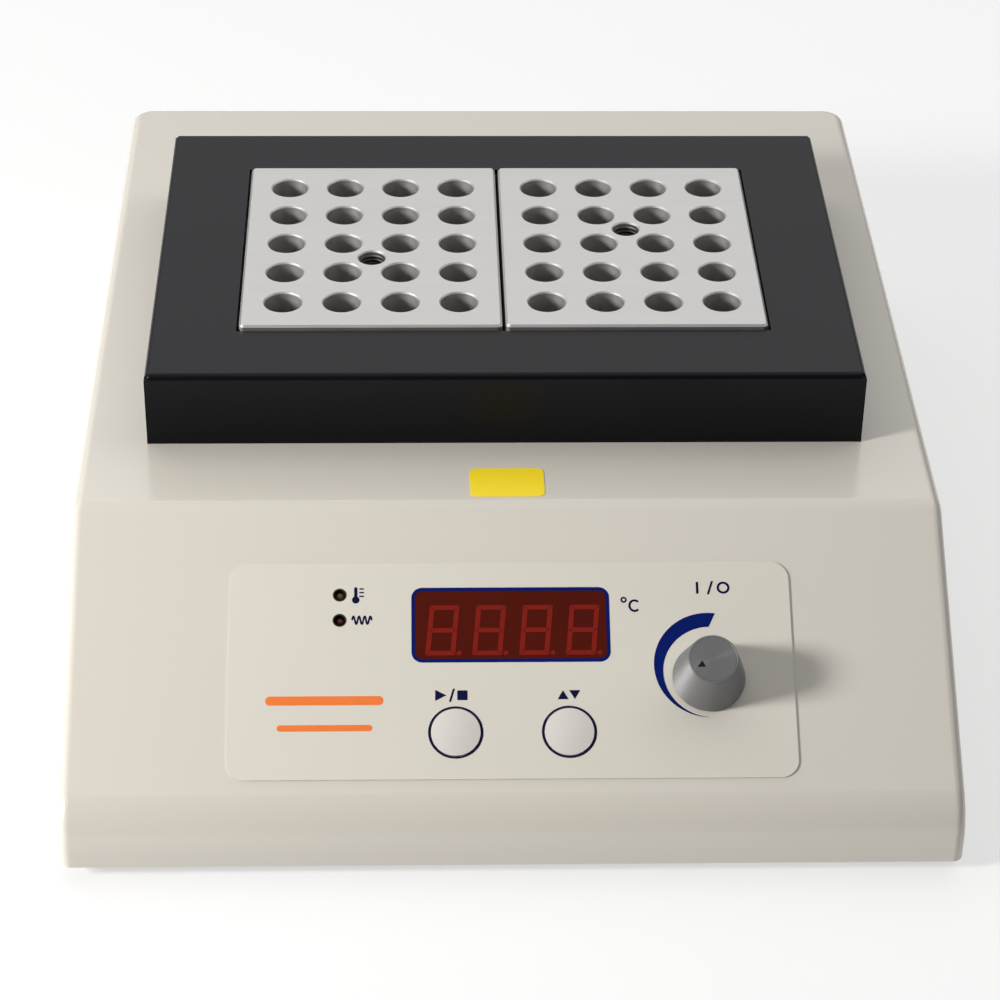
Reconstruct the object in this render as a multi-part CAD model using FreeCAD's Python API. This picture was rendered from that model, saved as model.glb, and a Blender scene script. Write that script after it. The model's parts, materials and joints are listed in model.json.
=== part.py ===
import FreeCAD, Part
import math
import os

from FreeCAD import Vector

# A dry block heater. Millimetres, X to the right, Y to the back, Z up.
# The origin is on the surface it stands on, under the middle of the housing.

# Heating blocks
BLOCK_W = 76.6
BLOCK_D = 95.8
BLOCK_H = 50.8
BLOCK_GAP = 1.0
BLOCK_PROUD = 1.3
BLOCK_CORNER_R = 1.5
BLOCK_EDGE = 0.6
TUBE_R = 5.5
TUBE_DEPTH = 44.0
TUBE_TIP = 2.0
TUBE_PITCH = 17.25
TUBE_COLUMNS = 4
TUBE_ROWS = 5
TUBE_CHAMFER = 0.4
LIFT_R = 4.0
LIFT_SINK_R = 4.4
LIFT_DEPTH = 16.0

# Well that the blocks stand in
WELL_CLEAR = 0.8
LINER_T = 1.0
PLATE_T = 8.0
MAT_T = 1.6
MAT_INSET = 4.0
MAT_SPACE = 5.0
PAD_T = 9.0
COLLAR_T = 12.0
COLLAR_BELOW_TOP = 2.0
TRAY_T = 1.0
TRAY_WALL_H = 30.0
PILLAR_R = 3.5
PILLAR_INSET = 11.0
PROBE_R = 2.0
PROBE_DEEP = 5.0
PROBE_CLEAR = 0.2
CUTOUT_R = 6.0
CUTOUT_T = 5.0
CUTOUT_TAB_L = 4.0
CUTOUT_TAB_W = 4.0
CUTOUT_TAB_T = 1.0
LEAD_FIT = 0.05
LEAD_SPACE = 7.0
LEAD_COUNT = 4
LEAD_CLEAR = 0.4
LEAD_BEND_R = 4.0
LEAD_SLANT = 6.0

# Black surround
SURROUND_MARGIN_X = 25.1
SURROUND_MARGIN_Y = 24.3
SURROUND_H = 22.9
SHEET_T = 1.5
SHEET_BEND_R = 2.0
SURROUND_FLANGE = 9.0
SEAM_W = 0.4
SEAM_DEEP = 3.0
RELIEF_R = 1.1

# Housing
DECK_SIDE = 19.1
DECK_FRONT = 30.85
DECK_BACK = 62.1
SLOPE_LEN = 94.0
SLOPE_DEG = 31.0
SKIRT_H = 14.0
WALL = 3.0
NOSE_R = 16.0
KINK_R = 8.0
BACK_CORNER_R = 7.0
EDGE_R = 3.0
DECK_HOLE_CLEAR = 2.0
BOSS_R = 4.0
BOSS_INSET = 10.0

# Base and feet
FOOT_PROUD = 4.0
FOOT_R = 8.0
FOOT_DRAFT = 1.0
FOOT_INSET_X = 24.0
FOOT_INSET_Y = 26.0
FOOT_SINK_R = 4.5
FOOT_SINK = 2.6
BASE_T = 1.5
BASE_RECESS = 1.0
BASE_CLEAR = 0.4
VENT_L = 34.0
VENT_W = 3.0
VENT_PITCH = 8.0
VENT_COUNT = 6
VENT_X = 52.0

# Screws
SCREW_R = 1.5
SCREW_CLEAR = 0.1
HEAD_R = 2.75
HEAD_H = 1.8
HEAD_ROUND = 0.8
HEAD_SLOT_L = 3.2
HEAD_SLOT_W = 0.7
HEAD_SLOT_DEEP = 1.0
SCREW_GRIP = 6.0
SCREW_SPARE = 1.0

# Control panel, placed by its distance across and down the slope
PANEL_W = 154.5
PANEL_L = 63.0
PANEL_R = 5.0
PANEL_T = 0.4
PANEL_V = 49.6
DISPLAY_W = 52.6
DISPLAY_L = 20.0
DISPLAY_R = 2.0
DISPLAY_V = 36.5
WINDOW_T = 2.0
WINDOW_LIP = 2.7
WINDOW_LIP_T = 1.5
WINDOW_FIT = 0.1
MODULE_W = 50.3
MODULE_L = 19.0
MODULE_T = 8.0
MODULE_FIT = 0.1
LIGHT_R = 1.5
LIGHT_CLEAR = 0.45
LIGHT_SUNK = 0.7
LIGHT_DOME = 1.3
LIGHT_INSET = 30.25
HOT_V = 27.5
HEAT_V = 35.0
BUTTON_R = 6.7
BUTTON_U = 15.4
BUTTON_V = 67.8
BUTTON_CLEAR = 0.3
BUTTON_PROUD = 0.3
BUTTON_CROWN = 0.5
BUTTON_LIP = 1.5
BUTTON_LIP_T = 1.2
BUTTON_STEM_R = 2.2
BUTTON_TRAVEL = 1.0
SWITCH_W = 6.0
SWITCH_H = 3.5
PLUNGER_R = 1.75
PLUNGER_PROUD = 1.2
PLUNGER_DEEP = 0.6
PLUNGER_CLEAR = 0.3
BOARD_T = 1.6
BOARD_LIGHT_EDGE = 13.0
BOARD_KNOB_EDGE = 1.0
BOARD_TOP_V = 21.5
BOARD_END_V = 78.0
BOARD_HOLE_INSET = 4.5
STANDOFF_R = 2.8
HEADER_L = 7.0
HEADER_T = 6.0
HEADER_SIDE = 1.0
HEADER_EDGE = 14.0

# Knob and rotary control
KNOB_INSET = 23.35
KNOB_V = 52.3
KNOB_BASE_R = 10.0
KNOB_TOP_R = 6.9
KNOB_H = 13.5
KNOB_GAP = 0.5
KNOB_RIM_R = 0.4
KNOB_HOLLOW_R = 8.0
KNOB_HOLLOW = 5.5
CAP_R = 6.3
CAP_T = 0.8
CAP_FIT = 0.05
SHAFT_R = 3.0
SHAFT_FIT = 0.05
SHAFT_CLEAR = 0.3
SHAFT_END = 2.0
BUSH_R = 4.6
BUSH_H = 4.6
WASHER_R = 6.6
WASHER_T = 0.5
NUT_FLATS = 12.0
NUT_T = 2.0
ROTARY_R = 8.2
ROTARY_T = 9.0
ROTARY_LEG_W = 1.2
ROTARY_LEG_L = 5.0
ROTARY_LEG_PITCH = 3.6
ROTARY_LEG_V = 4.1

# Power board in the rear of the housing
POWER_SIDE = 18.0
POWER_FRONT = 14.0
POWER_BACK = 6.0
POWER_HOLE_INSET = 4.0
STANDOFF_H = 8.0
CORE_EDGE = 16.0
CORE_W = 38.0
CORE_D = 32.0
CORE_H = 28.0
COIL_PROUD = 4.0
COIL_H = 18.0
SINK_W = 40.0
SINK_H = 26.0
SINK_BACK_T = 3.0
SINK_FIN_T = 1.5
SINK_FIN_L = 9.0
SINK_FINS = 7
TRIAC_W = 10.0
TRIAC_T = 4.5
TRIAC_H = 15.0
CAPACITOR_W = 18.0
CAPACITOR_D = 8.5
CAPACITOR_H = 14.5
TERMINAL_D = 10.0
TERMINAL_H = 12.0
TERMINAL_SCREW_R = 2.0
TERMINAL_SCREW_DEEP = 2.0
PART_SPACE = 8.0
RIBBON_W = 20.0
RIBBON_T = 0.9
RIBBON_BEND_R = 4.0
RIBBON_LIFT = 1.2
RIBBON_U = -34.0
RIBBON_FRONT = 8.0

# Mains inlet and fuse drawer in the back
INLET_INSET = 51.5
INLET_Z = 38.0
INLET_FLANGE_W = 48.0
INLET_FLANGE_H = 36.0
INLET_FLANGE_T = 2.5
INLET_FLANGE_R = 3.0
INLET_SUNK = 0.5
INLET_PAD = 5.0
INLET_BODY_W = 30.0
INLET_BODY_H = 31.0
INLET_BODY_D = 28.0
INLET_FIT = 0.3
INLET_SCREW_X = 19.5
SOCKET_W = 24.4
SOCKET_H = 16.6
SOCKET_CUT = 4.0
SOCKET_R = 1.0
SOCKET_DEEP = 17.0
SOCKET_DROP = 5.6
PIN_W = 2.0
PIN_H = 4.0
PIN_X = 7.0
PIN_EARTH_RISE = 4.0
PIN_SHORT = 2.0
PIN_TAIL = 4.0
DRAWER_W = 25.0
DRAWER_H = 8.6
DRAWER_D = 24.0
DRAWER_RISE = 9.4
DRAWER_CLEAR = 0.3
DRAWER_WALL = 1.5
DRAWER_GRIP_R = 3.0
DRAWER_GRIP_W = 8.0
FUSE_COUNT = 2
FUSE_R = 2.5
FUSE_L = 20.0
FUSE_SPACE = 0.6

# How far cutters run past what they cut, how close counts as equal, and what counts as a sharp edge
OVER = 1.0
NEAR = 1e-4
SHARP_DEG = 5.0

# Places worked out from the sizes above
SLOPE = math.radians(SLOPE_DEG)
WELL_W = 2 * BLOCK_W + BLOCK_GAP + 2 * WELL_CLEAR
WELL_D = BLOCK_D + 2 * WELL_CLEAR
SURROUND_W = WELL_W + 2 * SURROUND_MARGIN_X
SURROUND_D = WELL_D + 2 * SURROUND_MARGIN_Y
HOUSING_W = SURROUND_W + 2 * DECK_SIDE
SLOPE_RUN = SLOPE_LEN * math.cos(SLOPE)
SLOPE_DROP = SLOPE_LEN * math.sin(SLOPE)
HOUSING_D = SLOPE_RUN + DECK_FRONT + SURROUND_D + DECK_BACK
SIDE_X = HOUSING_W / 2
FRONT_Y = -HOUSING_D / 2
BACK_Y = HOUSING_D / 2
KINK_Y = FRONT_Y + SLOPE_RUN
BLOCK_Y = KINK_Y + DECK_FRONT + SURROUND_D / 2
LOWER_Z = FOOT_PROUD
BASE_Z = LOWER_Z + BASE_RECESS
BASE_TOP = BASE_Z + BASE_T
DECK_Z = LOWER_Z + SKIRT_H + SLOPE_DROP
SURROUND_TOP = DECK_Z + SURROUND_H
BLOCK_Z = SURROUND_TOP + BLOCK_PROUD - BLOCK_H
PLATE_Z = BLOCK_Z - PLATE_T
PAD_TOP = PLATE_Z - MAT_T
TRAY_TOP = PAD_TOP - PAD_T
TRAY_Z = TRAY_TOP - TRAY_T
LINER_W = WELL_W + 2 * LINER_T
LINER_D = WELL_D + 2 * LINER_T
COLLAR_W = LINER_W + 2 * COLLAR_T
COLLAR_D = LINER_D + 2 * COLLAR_T
COLLAR_TOP = SURROUND_TOP - SHEET_T - COLLAR_BELOW_TOP
HOLE_R = SCREW_R + SCREW_CLEAR
LIGHT_U = LIGHT_INSET - PANEL_W / 2
KNOB_U = PANEL_W / 2 - KNOB_INSET
BOARD_H = PANEL_T - WINDOW_T - MODULE_T
BOARD_LEFT = LIGHT_U - BOARD_LIGHT_EDGE
BOARD_RIGHT = KNOB_U - ROTARY_R - BOARD_KNOB_EDGE
POWER_X = SIDE_X - WALL - POWER_SIDE
POWER_Y0 = BLOCK_Y + COLLAR_D / 2 + TRAY_T + POWER_FRONT
POWER_Y1 = BACK_Y - WALL - POWER_BACK
POWER_Z = BASE_TOP + STANDOFF_H
POWER_TOP = POWER_Z + BOARD_T
TERMINAL_W = LEAD_COUNT * LEAD_SPACE
INLET_X = -SIDE_X + INLET_INSET
INLET_FACE_Y = BACK_Y - INLET_SUNK
SOCKET_Z = INLET_Z - SOCKET_DROP
DRAWER_Z = INLET_Z + DRAWER_RISE
LEAD_R = MAT_T / 2 - LEAD_FIT
LEAD_ROOM = LEAD_SPACE * LEAD_COUNT / 2
HEADER_W = RIBBON_W + 2 * HEADER_SIDE


def box(x0, x1, y0, y1, z0, z1):
    return Part.makeBox(x1 - x0, y1 - y0, z1 - z0, Vector(x0, y0, z0))


def slab(width, depth, z0, z1, x=0.0, y=0.0):
    """A box centred on x and y."""
    return box(x - width / 2, x + width / 2, y - depth / 2, y + depth / 2, z0, z1)


def rod(r, z0, z1, x=0.0, y=0.0):
    return Part.makeCylinder(r, z1 - z0, Vector(x, y, z0))


def taper(r0, r1, z0, z1, x=0.0, y=0.0):
    return Part.makeCone(r0, r1, z1 - z0, Vector(x, y, z0))


def rounded_face(corners, radii, place):
    """The face inside corners, each rounded by a tangent arc. place turns two numbers into a point."""
    edges = []
    last = None
    first = None
    for i, radius in enumerate(radii):
        here = Vector(*corners[i], 0)
        back = (Vector(*corners[i - 1], 0) - here).normalize()
        ahead = (Vector(*corners[(i + 1) % len(corners)], 0) - here).normalize()
        half = back.getAngle(ahead) / 2
        start = here + back * (radius / math.tan(half))
        end = here + ahead * (radius / math.tan(half))
        middle = here
        if radius > 0:
            inward = (back + ahead).normalize()
            middle = here + inward * (radius / math.sin(half) - radius)
        points = [place(p.x, p.y) for p in (start, middle, end)]
        if last is not None:
            edges.append(Part.LineSegment(last, points[0]).toShape())
        if radius > 0:
            edges.append(Part.Arc(*points).toShape())
        first = first or points[0]
        last = points[2]
    edges.append(Part.LineSegment(last, first).toShape())
    return Part.Face(Part.Wire(edges))


def rectangle(half_w, half_h):
    """The corners of a rectangle about the origin, in order."""
    return [(-half_w, -half_h), (half_w, -half_h), (half_w, half_h), (-half_w, half_h)]


def rounded_slab(width, depth, r, z0, z1, x=0.0, y=0.0):
    """An upright slab with rounded corners, centred on x and y."""
    corners = rectangle(width / 2, depth / 2)
    face = rounded_face(corners, [r] * 4, lambda a, b: Vector(x + a, y + b, z0))
    return face.extrude(Vector(0, 0, z1 - z0))


def turned(profile):
    """A solid turned about Z from a closed outline of (radius, height) corners."""
    points = [Vector(r, 0, z) for r, z in profile]
    face = Part.Face(Part.makePolygon(points + points[:1]))
    return face.revolve(Vector(0, 0, 0), Vector(0, 0, 1), 360)


def hexagon(flats, z0, z1):
    corner = flats / math.sqrt(3)
    turns = [math.radians(60 * i) for i in range(7)]
    points = [Vector(corner * math.cos(t), corner * math.sin(t), z0) for t in turns]
    return Part.Face(Part.makePolygon(points)).extrude(Vector(0, 0, z1 - z0))


def on_slope(shape, u, v):
    """Puts a shape made upright at the origin on the sloped front, u across and v down from its top."""
    placed = shape.copy()
    placed.rotate(Vector(0, 0, 0), Vector(1, 0, 0), SLOPE_DEG)
    placed.translate(Vector(u, KINK_Y - v * math.cos(SLOPE), DECK_Z - v * math.sin(SLOPE)))
    return placed


def slope_height(u, v, h):
    """The point at height h over the sloped front."""
    y = KINK_Y - v * math.cos(SLOPE) - h * math.sin(SLOPE)
    return Vector(u, y, DECK_Z - v * math.sin(SLOPE) + h * math.cos(SLOPE))


def moved(shape, x, y, z=0.0):
    placed = shape.copy()
    placed.translate(Vector(x, y, z))
    return placed


def group(shapes):
    return Part.makeCompound(list(shapes))


def four_corners(x, y):
    return [(-x, -y), (x, -y), (-x, y), (x, y)]


def screw(head_z, grip, up):
    """A round-headed screw whose head rests on height head_z, with its shank going up or down."""
    side = 1 if up else -1
    outer = head_z - side * HEAD_H
    head = rod(HEAD_R, *sorted((head_z, outer)))
    rim = [e for e in head.Edges if abs(e.BoundBox.ZMin - outer) + e.BoundBox.ZLength < NEAR]
    head = head.makeFillet(HEAD_ROUND, rim)
    shank = rod(SCREW_R, *sorted((head_z, head_z + side * grip)))
    low, high = sorted((outer - side * OVER, outer + side * HEAD_SLOT_DEEP))
    slots = [
        slab(HEAD_SLOT_L, HEAD_SLOT_W, low, high),
        slab(HEAD_SLOT_W, HEAD_SLOT_L, low, high),
    ]
    return head.fuse(shank).removeSplitter().cut(slots)


def sharp_edges(body, lowest):
    """The edges above a height where two faces meet at an angle."""
    found = []
    for edge in body.Edges:
        if edge.BoundBox.ZMax < lowest:
            continue
        middle = edge.valueAt((edge.FirstParameter + edge.LastParameter) / 2)
        faces = body.ancestorsOfType(edge, Part.Face)
        normals = [f.normalAt(*f.Surface.parameter(middle)) for f in faces]
        if len(normals) == 2 and normals[0].getAngle(normals[1]) > math.radians(SHARP_DEG):
            found.append(edge)
    return found


def upright_edges(body, y):
    """The straight upright edges at a distance y to the back."""
    boxes = [(e, e.BoundBox) for e in body.Edges]
    return [e for e, b in boxes if b.XLength < NEAR and b.YLength < NEAR and abs(b.YMin - y) < NEAR]


def top_edges(body, z):
    """The edges that lie at height z, the top of a body."""
    return [e for e in body.Edges if e.BoundBox.ZMin > z - NEAR]


def housing_body(inset, floor):
    """The housing's outer form moved inwards by inset, closed, and standing on the height floor."""
    front = FRONT_Y + inset
    back = BACK_Y - inset
    top = DECK_Z - inset
    nose = DECK_Z + (front - KINK_Y) * math.tan(SLOPE) - inset / math.cos(SLOPE)
    kink = KINK_Y + inset * math.tan(SLOPE / 2)
    corners = [(front, floor), (front, nose), (kink, top), (back, top), (back, floor)]
    radii = [0.0, NOSE_R - inset, KINK_R - inset, 0.0, 0.0]
    side = rounded_face(corners, radii, lambda y, z: Vector(inset - SIDE_X, y, z))
    body = side.extrude(Vector(HOUSING_W - 2 * inset, 0, 0))
    return body.makeFillet(BACK_CORNER_R - inset, upright_edges(body, back))


def boss_places():
    """The screw bosses that hold the base: two at the front, two at the sides and two at the back."""
    x = SIDE_X - BOSS_INSET
    rows = [FRONT_Y + BOSS_INSET, BLOCK_Y, BACK_Y - BOSS_INSET]
    return [(side * x, y) for y in rows for side in (-1, 1)]


def foot_places():
    x = SIDE_X - FOOT_INSET_X
    y = BACK_Y - FOOT_INSET_Y
    return four_corners(x, y)


def surround_screw_places():
    inset = SHEET_T + SURROUND_FLANGE / 2
    corners = four_corners(SURROUND_W / 2 - inset, SURROUND_D / 2 - inset)
    return [(x, BLOCK_Y + y) for x, y in corners]


def pillar_places():
    corners = four_corners(COLLAR_W / 2 - PILLAR_INSET, COLLAR_D / 2 - PILLAR_INSET)
    return [(x, BLOCK_Y + y) for x, y in corners]


def board_hole_places():
    """The display board's screws: near its left edge, and midway from the window to the rotary control."""
    between = (DISPLAY_W / 2 + WINDOW_LIP + KNOB_U - ROTARY_R) / 2
    us = (BOARD_LEFT + BOARD_HOLE_INSET, between)
    vs = (BOARD_TOP_V + BOARD_HOLE_INSET, BOARD_END_V - BOARD_HOLE_INSET)
    return [(u, v) for u in us for v in vs]


def power_hole_places():
    y = (POWER_Y0 + POWER_Y1) / 2
    half = (POWER_Y1 - POWER_Y0) / 2 - POWER_HOLE_INSET
    return [(x, y + dy) for x, dy in four_corners(POWER_X - POWER_HOLE_INSET, half)]


def lead_xs():
    return [LEAD_SPACE * (i - (LEAD_COUNT - 1) / 2) for i in range(LEAD_COUNT)]


def slope_holes(depth, height):
    """Cutters for everything that passes through the sloped front, from depth below it to height above."""
    window_w = DISPLAY_W + 2 * WINDOW_FIT
    window_l = DISPLAY_L + 2 * WINDOW_FIT
    cutters = [on_slope(rounded_slab(window_w, window_l, DISPLAY_R, -depth, height), 0, DISPLAY_V)]
    for side in (-1, 1):
        hole = rod(BUTTON_R + BUTTON_CLEAR, -depth, height)
        cutters.append(on_slope(hole, side * BUTTON_U, BUTTON_V))
    for v in (HOT_V, HEAT_V):
        cutters.append(on_slope(rod(LIGHT_R + LIGHT_CLEAR, -depth, height), LIGHT_U, v))
    cutters.append(on_slope(rod(BUSH_R + SHAFT_FIT, -depth, height), KNOB_U, KNOB_V))
    return cutters


def inlet_cutters():
    """The recess that takes the inlet's flange, the hole for its body and the holes for its screws."""
    inner = BACK_Y - WALL - INLET_PAD
    flange = upright_plate(INLET_FLANGE_W, INLET_FLANGE_H, INLET_FLANGE_R, INLET_FIT)
    recess = flange.extrude(Vector(0, INLET_FLANGE_T + INLET_SUNK + OVER, 0))
    recess = moved(recess, 0, INLET_FACE_Y - INLET_FLANGE_T)
    width = INLET_BODY_W + 2 * INLET_FIT
    height = INLET_BODY_H + 2 * INLET_FIT
    through = inlet_box(width, height, inner - OVER, BACK_Y + OVER, INLET_Z)
    holes = [back_rod(HOLE_R, x, inner - OVER, BACK_Y + OVER) for x in inlet_screw_xs()]
    return [recess, through] + holes


def inlet_screw_xs():
    return [INLET_X + side * INLET_SCREW_X for side in (-1, 1)]


def inlet_box(width, height, y0, y1, z):
    """A box along Y, centred on the inlet's place across and on the height z."""
    return box(INLET_X - width / 2, INLET_X + width / 2, y0, y1, z - height / 2, z + height / 2)


def back_rod(r, x, y0, y1):
    """A rod along Y at the inlet's middle height."""
    return Part.makeCylinder(r, y1 - y0, Vector(x, y0, INLET_Z), Vector(0, 1, 0))


def upright_plate(width, height, r, grow):
    """A rounded face standing at y = 0 behind the inlet's middle."""
    corners = rectangle(width / 2 + grow, height / 2 + grow)
    return rounded_face(corners, [r] * 4, lambda a, b: Vector(INLET_X + a, 0, INLET_Z + b))


def housing_shell():
    """The moulded cover, open below: the holes in its deck and slope, the inlet's seat and its bosses."""
    outer = housing_body(0.0, LOWER_Z)
    outer = outer.makeFillet(EDGE_R, sharp_edges(outer, LOWER_Z + OVER))
    cavity = housing_body(WALL, LOWER_Z - OVER)
    pad_w = INLET_FLANGE_W + 2 * WALL
    pad_h = INLET_FLANGE_H + 2 * WALL
    pad = inlet_box(pad_w, pad_h, BACK_Y - WALL - INLET_PAD, BACK_Y - WALL / 2, INLET_Z)
    bosses = [rod(BOSS_R, BASE_TOP, DECK_Z, x, y).common(outer) for x, y in boss_places()]
    shell = outer.cut(cavity).fuse([pad] + bosses)
    cutters = slope_holes(WALL + OVER, OVER) + inlet_cutters()
    hole_w = COLLAR_W + 2 * DECK_HOLE_CLEAR
    hole_d = COLLAR_D + 2 * DECK_HOLE_CLEAR
    cutters.append(slab(hole_w, hole_d, DECK_Z - WALL - OVER, DECK_Z + OVER, 0, BLOCK_Y))
    for x, y in boss_places():
        cutters.append(rod(HOLE_R, BASE_TOP - OVER, BASE_TOP + SCREW_GRIP, x, y))
    for x, y in surround_screw_places():
        cutters.append(rod(HOLE_R, DECK_Z - WALL - OVER, DECK_Z + OVER, x, y))
    return shell.cut(cutters).removeSplitter()


def base_plate():
    """The steel sheet that closes the housing below, with its vents and screw holes."""
    fitted = housing_body(WALL + BASE_CLEAR, LOWER_Z - OVER)
    plate = slab(HOUSING_W, HOUSING_D, BASE_Z, BASE_TOP).common(fitted)
    cutters = []
    for x, y in boss_places() + foot_places() + pillar_places() + power_hole_places():
        cutters.append(rod(HOLE_R, BASE_Z - OVER, BASE_TOP + OVER, x, y))
    first = BLOCK_Y - VENT_PITCH * (VENT_COUNT - 1) / 2
    for i in range(VENT_COUNT):
        for side in (-1, 1):
            cutters.append(vent(side * VENT_X, first + i * VENT_PITCH))
    return plate.cut(cutters)


def vent(x, y):
    """A cutter for one round-ended vent in the base."""
    low = BASE_Z - OVER
    high = BASE_TOP + OVER
    half = (VENT_L - VENT_W) / 2
    ends = [rod(VENT_W / 2, low, high, x + side * half, y) for side in (-1, 1)]
    return slab(2 * half, VENT_W, low, high, x, y).fuse(ends)


def foot(x, y):
    """A rubber foot under the base, with a sunk seat for its screw."""
    body = taper(FOOT_R - FOOT_DRAFT, FOOT_R, 0, BASE_Z, x, y)
    seat = rod(FOOT_SINK_R, -OVER, FOOT_SINK, x, y)
    return body.cut([seat, rod(HOLE_R, 0, BASE_Z + OVER, x, y)])


def foot_screws():
    made = screw(FOOT_SINK, BASE_TOP + SCREW_SPARE - FOOT_SINK, True)
    return group(moved(made, x, y) for x, y in foot_places())


def base_screws():
    made = screw(BASE_Z, BASE_T + SCREW_GRIP - SCREW_SPARE, True)
    return group(moved(made, x, y) for x, y in boss_places())


def block_surround():
    """The folded cover round the blocks: a top with the blocks' hole, four sides and a foot flange."""
    outer = slab(SURROUND_W, SURROUND_D, DECK_Z, SURROUND_TOP, 0, BLOCK_Y)
    outer = outer.makeFillet(SHEET_BEND_R, top_edges(outer, SURROUND_TOP))
    inside_w = SURROUND_W - 2 * SHEET_T
    inside_d = SURROUND_D - 2 * SHEET_T
    inside = slab(inside_w, inside_d, DECK_Z + SHEET_T, SURROUND_TOP - SHEET_T, 0, BLOCK_Y)
    inner_w = inside_w - 2 * SURROUND_FLANGE
    inner_d = inside_d - 2 * SURROUND_FLANGE
    below = slab(inner_w, inner_d, DECK_Z - OVER, DECK_Z + SHEET_T + OVER, 0, BLOCK_Y)
    mouth = slab(WELL_W, WELL_D, SURROUND_TOP - SHEET_T - OVER, SURROUND_TOP + OVER, 0, BLOCK_Y)
    cutters = [inside, below, mouth]
    for x, y in surround_screw_places():
        cutters.append(rod(HOLE_R, DECK_Z - OVER, DECK_Z + SHEET_T + OVER, x, y))
    reach = SHEET_BEND_R * (1 - math.sqrt(0.5))
    for side_x, side_y in four_corners(1, 1):
        x = side_x * SURROUND_W / 2
        y = BLOCK_Y + side_y * SURROUND_D / 2
        seam = slab(2 * SEAM_DEEP, SEAM_W, DECK_Z + SHEET_T, SURROUND_TOP - SHEET_BEND_R)
        seam.rotate(Vector(0, 0, 0), Vector(0, 0, 1), math.degrees(math.atan2(side_y, side_x)))
        cutters.append(moved(seam, x, y))
        at = Vector(x - side_x * reach, y - side_y * reach, SURROUND_TOP - reach)
        cutters.append(Part.makeSphere(RELIEF_R, at))
    return outer.cut(cutters)


def surround_screws():
    made = screw(DECK_Z - WALL, WALL + SHEET_T + SCREW_SPARE, True)
    return group(moved(made, x, y) for x, y in surround_screw_places())


def tube_places():
    xs = [TUBE_PITCH * (i - (TUBE_COLUMNS - 1) / 2) for i in range(TUBE_COLUMNS)]
    ys = [TUBE_PITCH * (i - (TUBE_ROWS - 1) / 2) for i in range(TUBE_ROWS)]
    return [(x, y) for y in ys for x in xs]


def heating_block():
    """One block standing on its origin, with its tube wells and a lifting hole half a pitch in front."""
    body = rounded_slab(BLOCK_W, BLOCK_D, BLOCK_CORNER_R, 0, BLOCK_H)
    body = body.makeChamfer(BLOCK_EDGE, top_edges(body, BLOCK_H))
    bottom = BLOCK_H - TUBE_DEPTH
    wide = TUBE_R + TUBE_CHAMFER
    well = turned(
        [
            (0, bottom - TUBE_TIP),
            (TUBE_R, bottom),
            (TUBE_R, BLOCK_H - TUBE_CHAMFER),
            (wide, BLOCK_H),
            (wide, BLOCK_H + OVER),
            (0, BLOCK_H + OVER),
        ]
    )
    sink = LIFT_SINK_R - LIFT_R
    lift = turned(
        [
            (0, BLOCK_H - LIFT_DEPTH),
            (LIFT_R, BLOCK_H - LIFT_DEPTH),
            (LIFT_R, BLOCK_H - sink),
            (LIFT_SINK_R, BLOCK_H),
            (LIFT_SINK_R, BLOCK_H + OVER),
            (0, BLOCK_H + OVER),
        ]
    )
    wells = [moved(well, x, y) for x, y in tube_places()]
    return body.cut(wells + [moved(lift, 0, -TUBE_PITCH / 2)])


def placed_block(side):
    """The left block as it is made, or the right one, which is the same block turned half round."""
    made = heating_block()
    if side > 0:
        made.rotate(Vector(0, 0, 0), Vector(0, 0, 1), 180)
    return moved(made, side * (BLOCK_W + BLOCK_GAP) / 2, BLOCK_Y, BLOCK_Z)


def heating_plate():
    plate = slab(WELL_W, WELL_D, PLATE_Z, BLOCK_Z, 0, BLOCK_Y)
    return plate.cut(rod(PROBE_R + PROBE_CLEAR, PLATE_Z - OVER, PLATE_Z + PROBE_DEEP, 0, BLOCK_Y))


def lead_slot(y0, y1):
    """The passage at the back of the well that the heater leads leave by."""
    return box(-LEAD_ROOM, LEAD_ROOM, y0, y1, PAD_TOP, PLATE_Z + LEAD_CLEAR)


def well_liner():
    """The thin steel wall round the blocks, from the insulation up to the surround's top."""
    outer = slab(LINER_W, LINER_D, PAD_TOP, SURROUND_TOP - SHEET_T, 0, BLOCK_Y)
    inner = slab(WELL_W, WELL_D, PAD_TOP - OVER, SURROUND_TOP, 0, BLOCK_Y)
    return outer.cut([inner, lead_slot(BLOCK_Y, BLOCK_Y + LINER_D)])


def heater_mat(side):
    """A flat silicone heater under one block."""
    inner = MAT_SPACE / 2
    outer = WELL_W / 2 - MAT_INSET
    width = outer - inner
    depth = WELL_D - 2 * MAT_INSET
    return slab(width, depth, PAD_TOP, PLATE_Z, side * (inner + outer) / 2, BLOCK_Y)


def insulation_base():
    return slab(COLLAR_W, COLLAR_D, TRAY_TOP, PAD_TOP, 0, BLOCK_Y)


def insulation_collar():
    outer = slab(COLLAR_W, COLLAR_D, PAD_TOP, COLLAR_TOP, 0, BLOCK_Y)
    inner = slab(LINER_W, LINER_D, PAD_TOP - OVER, COLLAR_TOP + OVER, 0, BLOCK_Y)
    return outer.cut([inner, lead_slot(BLOCK_Y, BLOCK_Y + COLLAR_D)])


def heater_tray():
    """The folded tray that carries the insulation, the plate and the blocks."""
    high = TRAY_Z + TRAY_WALL_H
    outer = slab(COLLAR_W + 2 * TRAY_T, COLLAR_D + 2 * TRAY_T, TRAY_Z, high, 0, BLOCK_Y)
    inner = slab(COLLAR_W, COLLAR_D, TRAY_TOP, high + OVER, 0, BLOCK_Y)
    return outer.cut([inner, lead_slot(BLOCK_Y, BLOCK_Y + COLLAR_D)])


def tray_pillars():
    hole = rod(HOLE_R, BASE_TOP - OVER, BASE_TOP + SCREW_GRIP)
    pillar = rod(PILLAR_R, BASE_TOP, TRAY_Z).cut(hole)
    return group(moved(pillar, x, y) for x, y in pillar_places())


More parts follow.
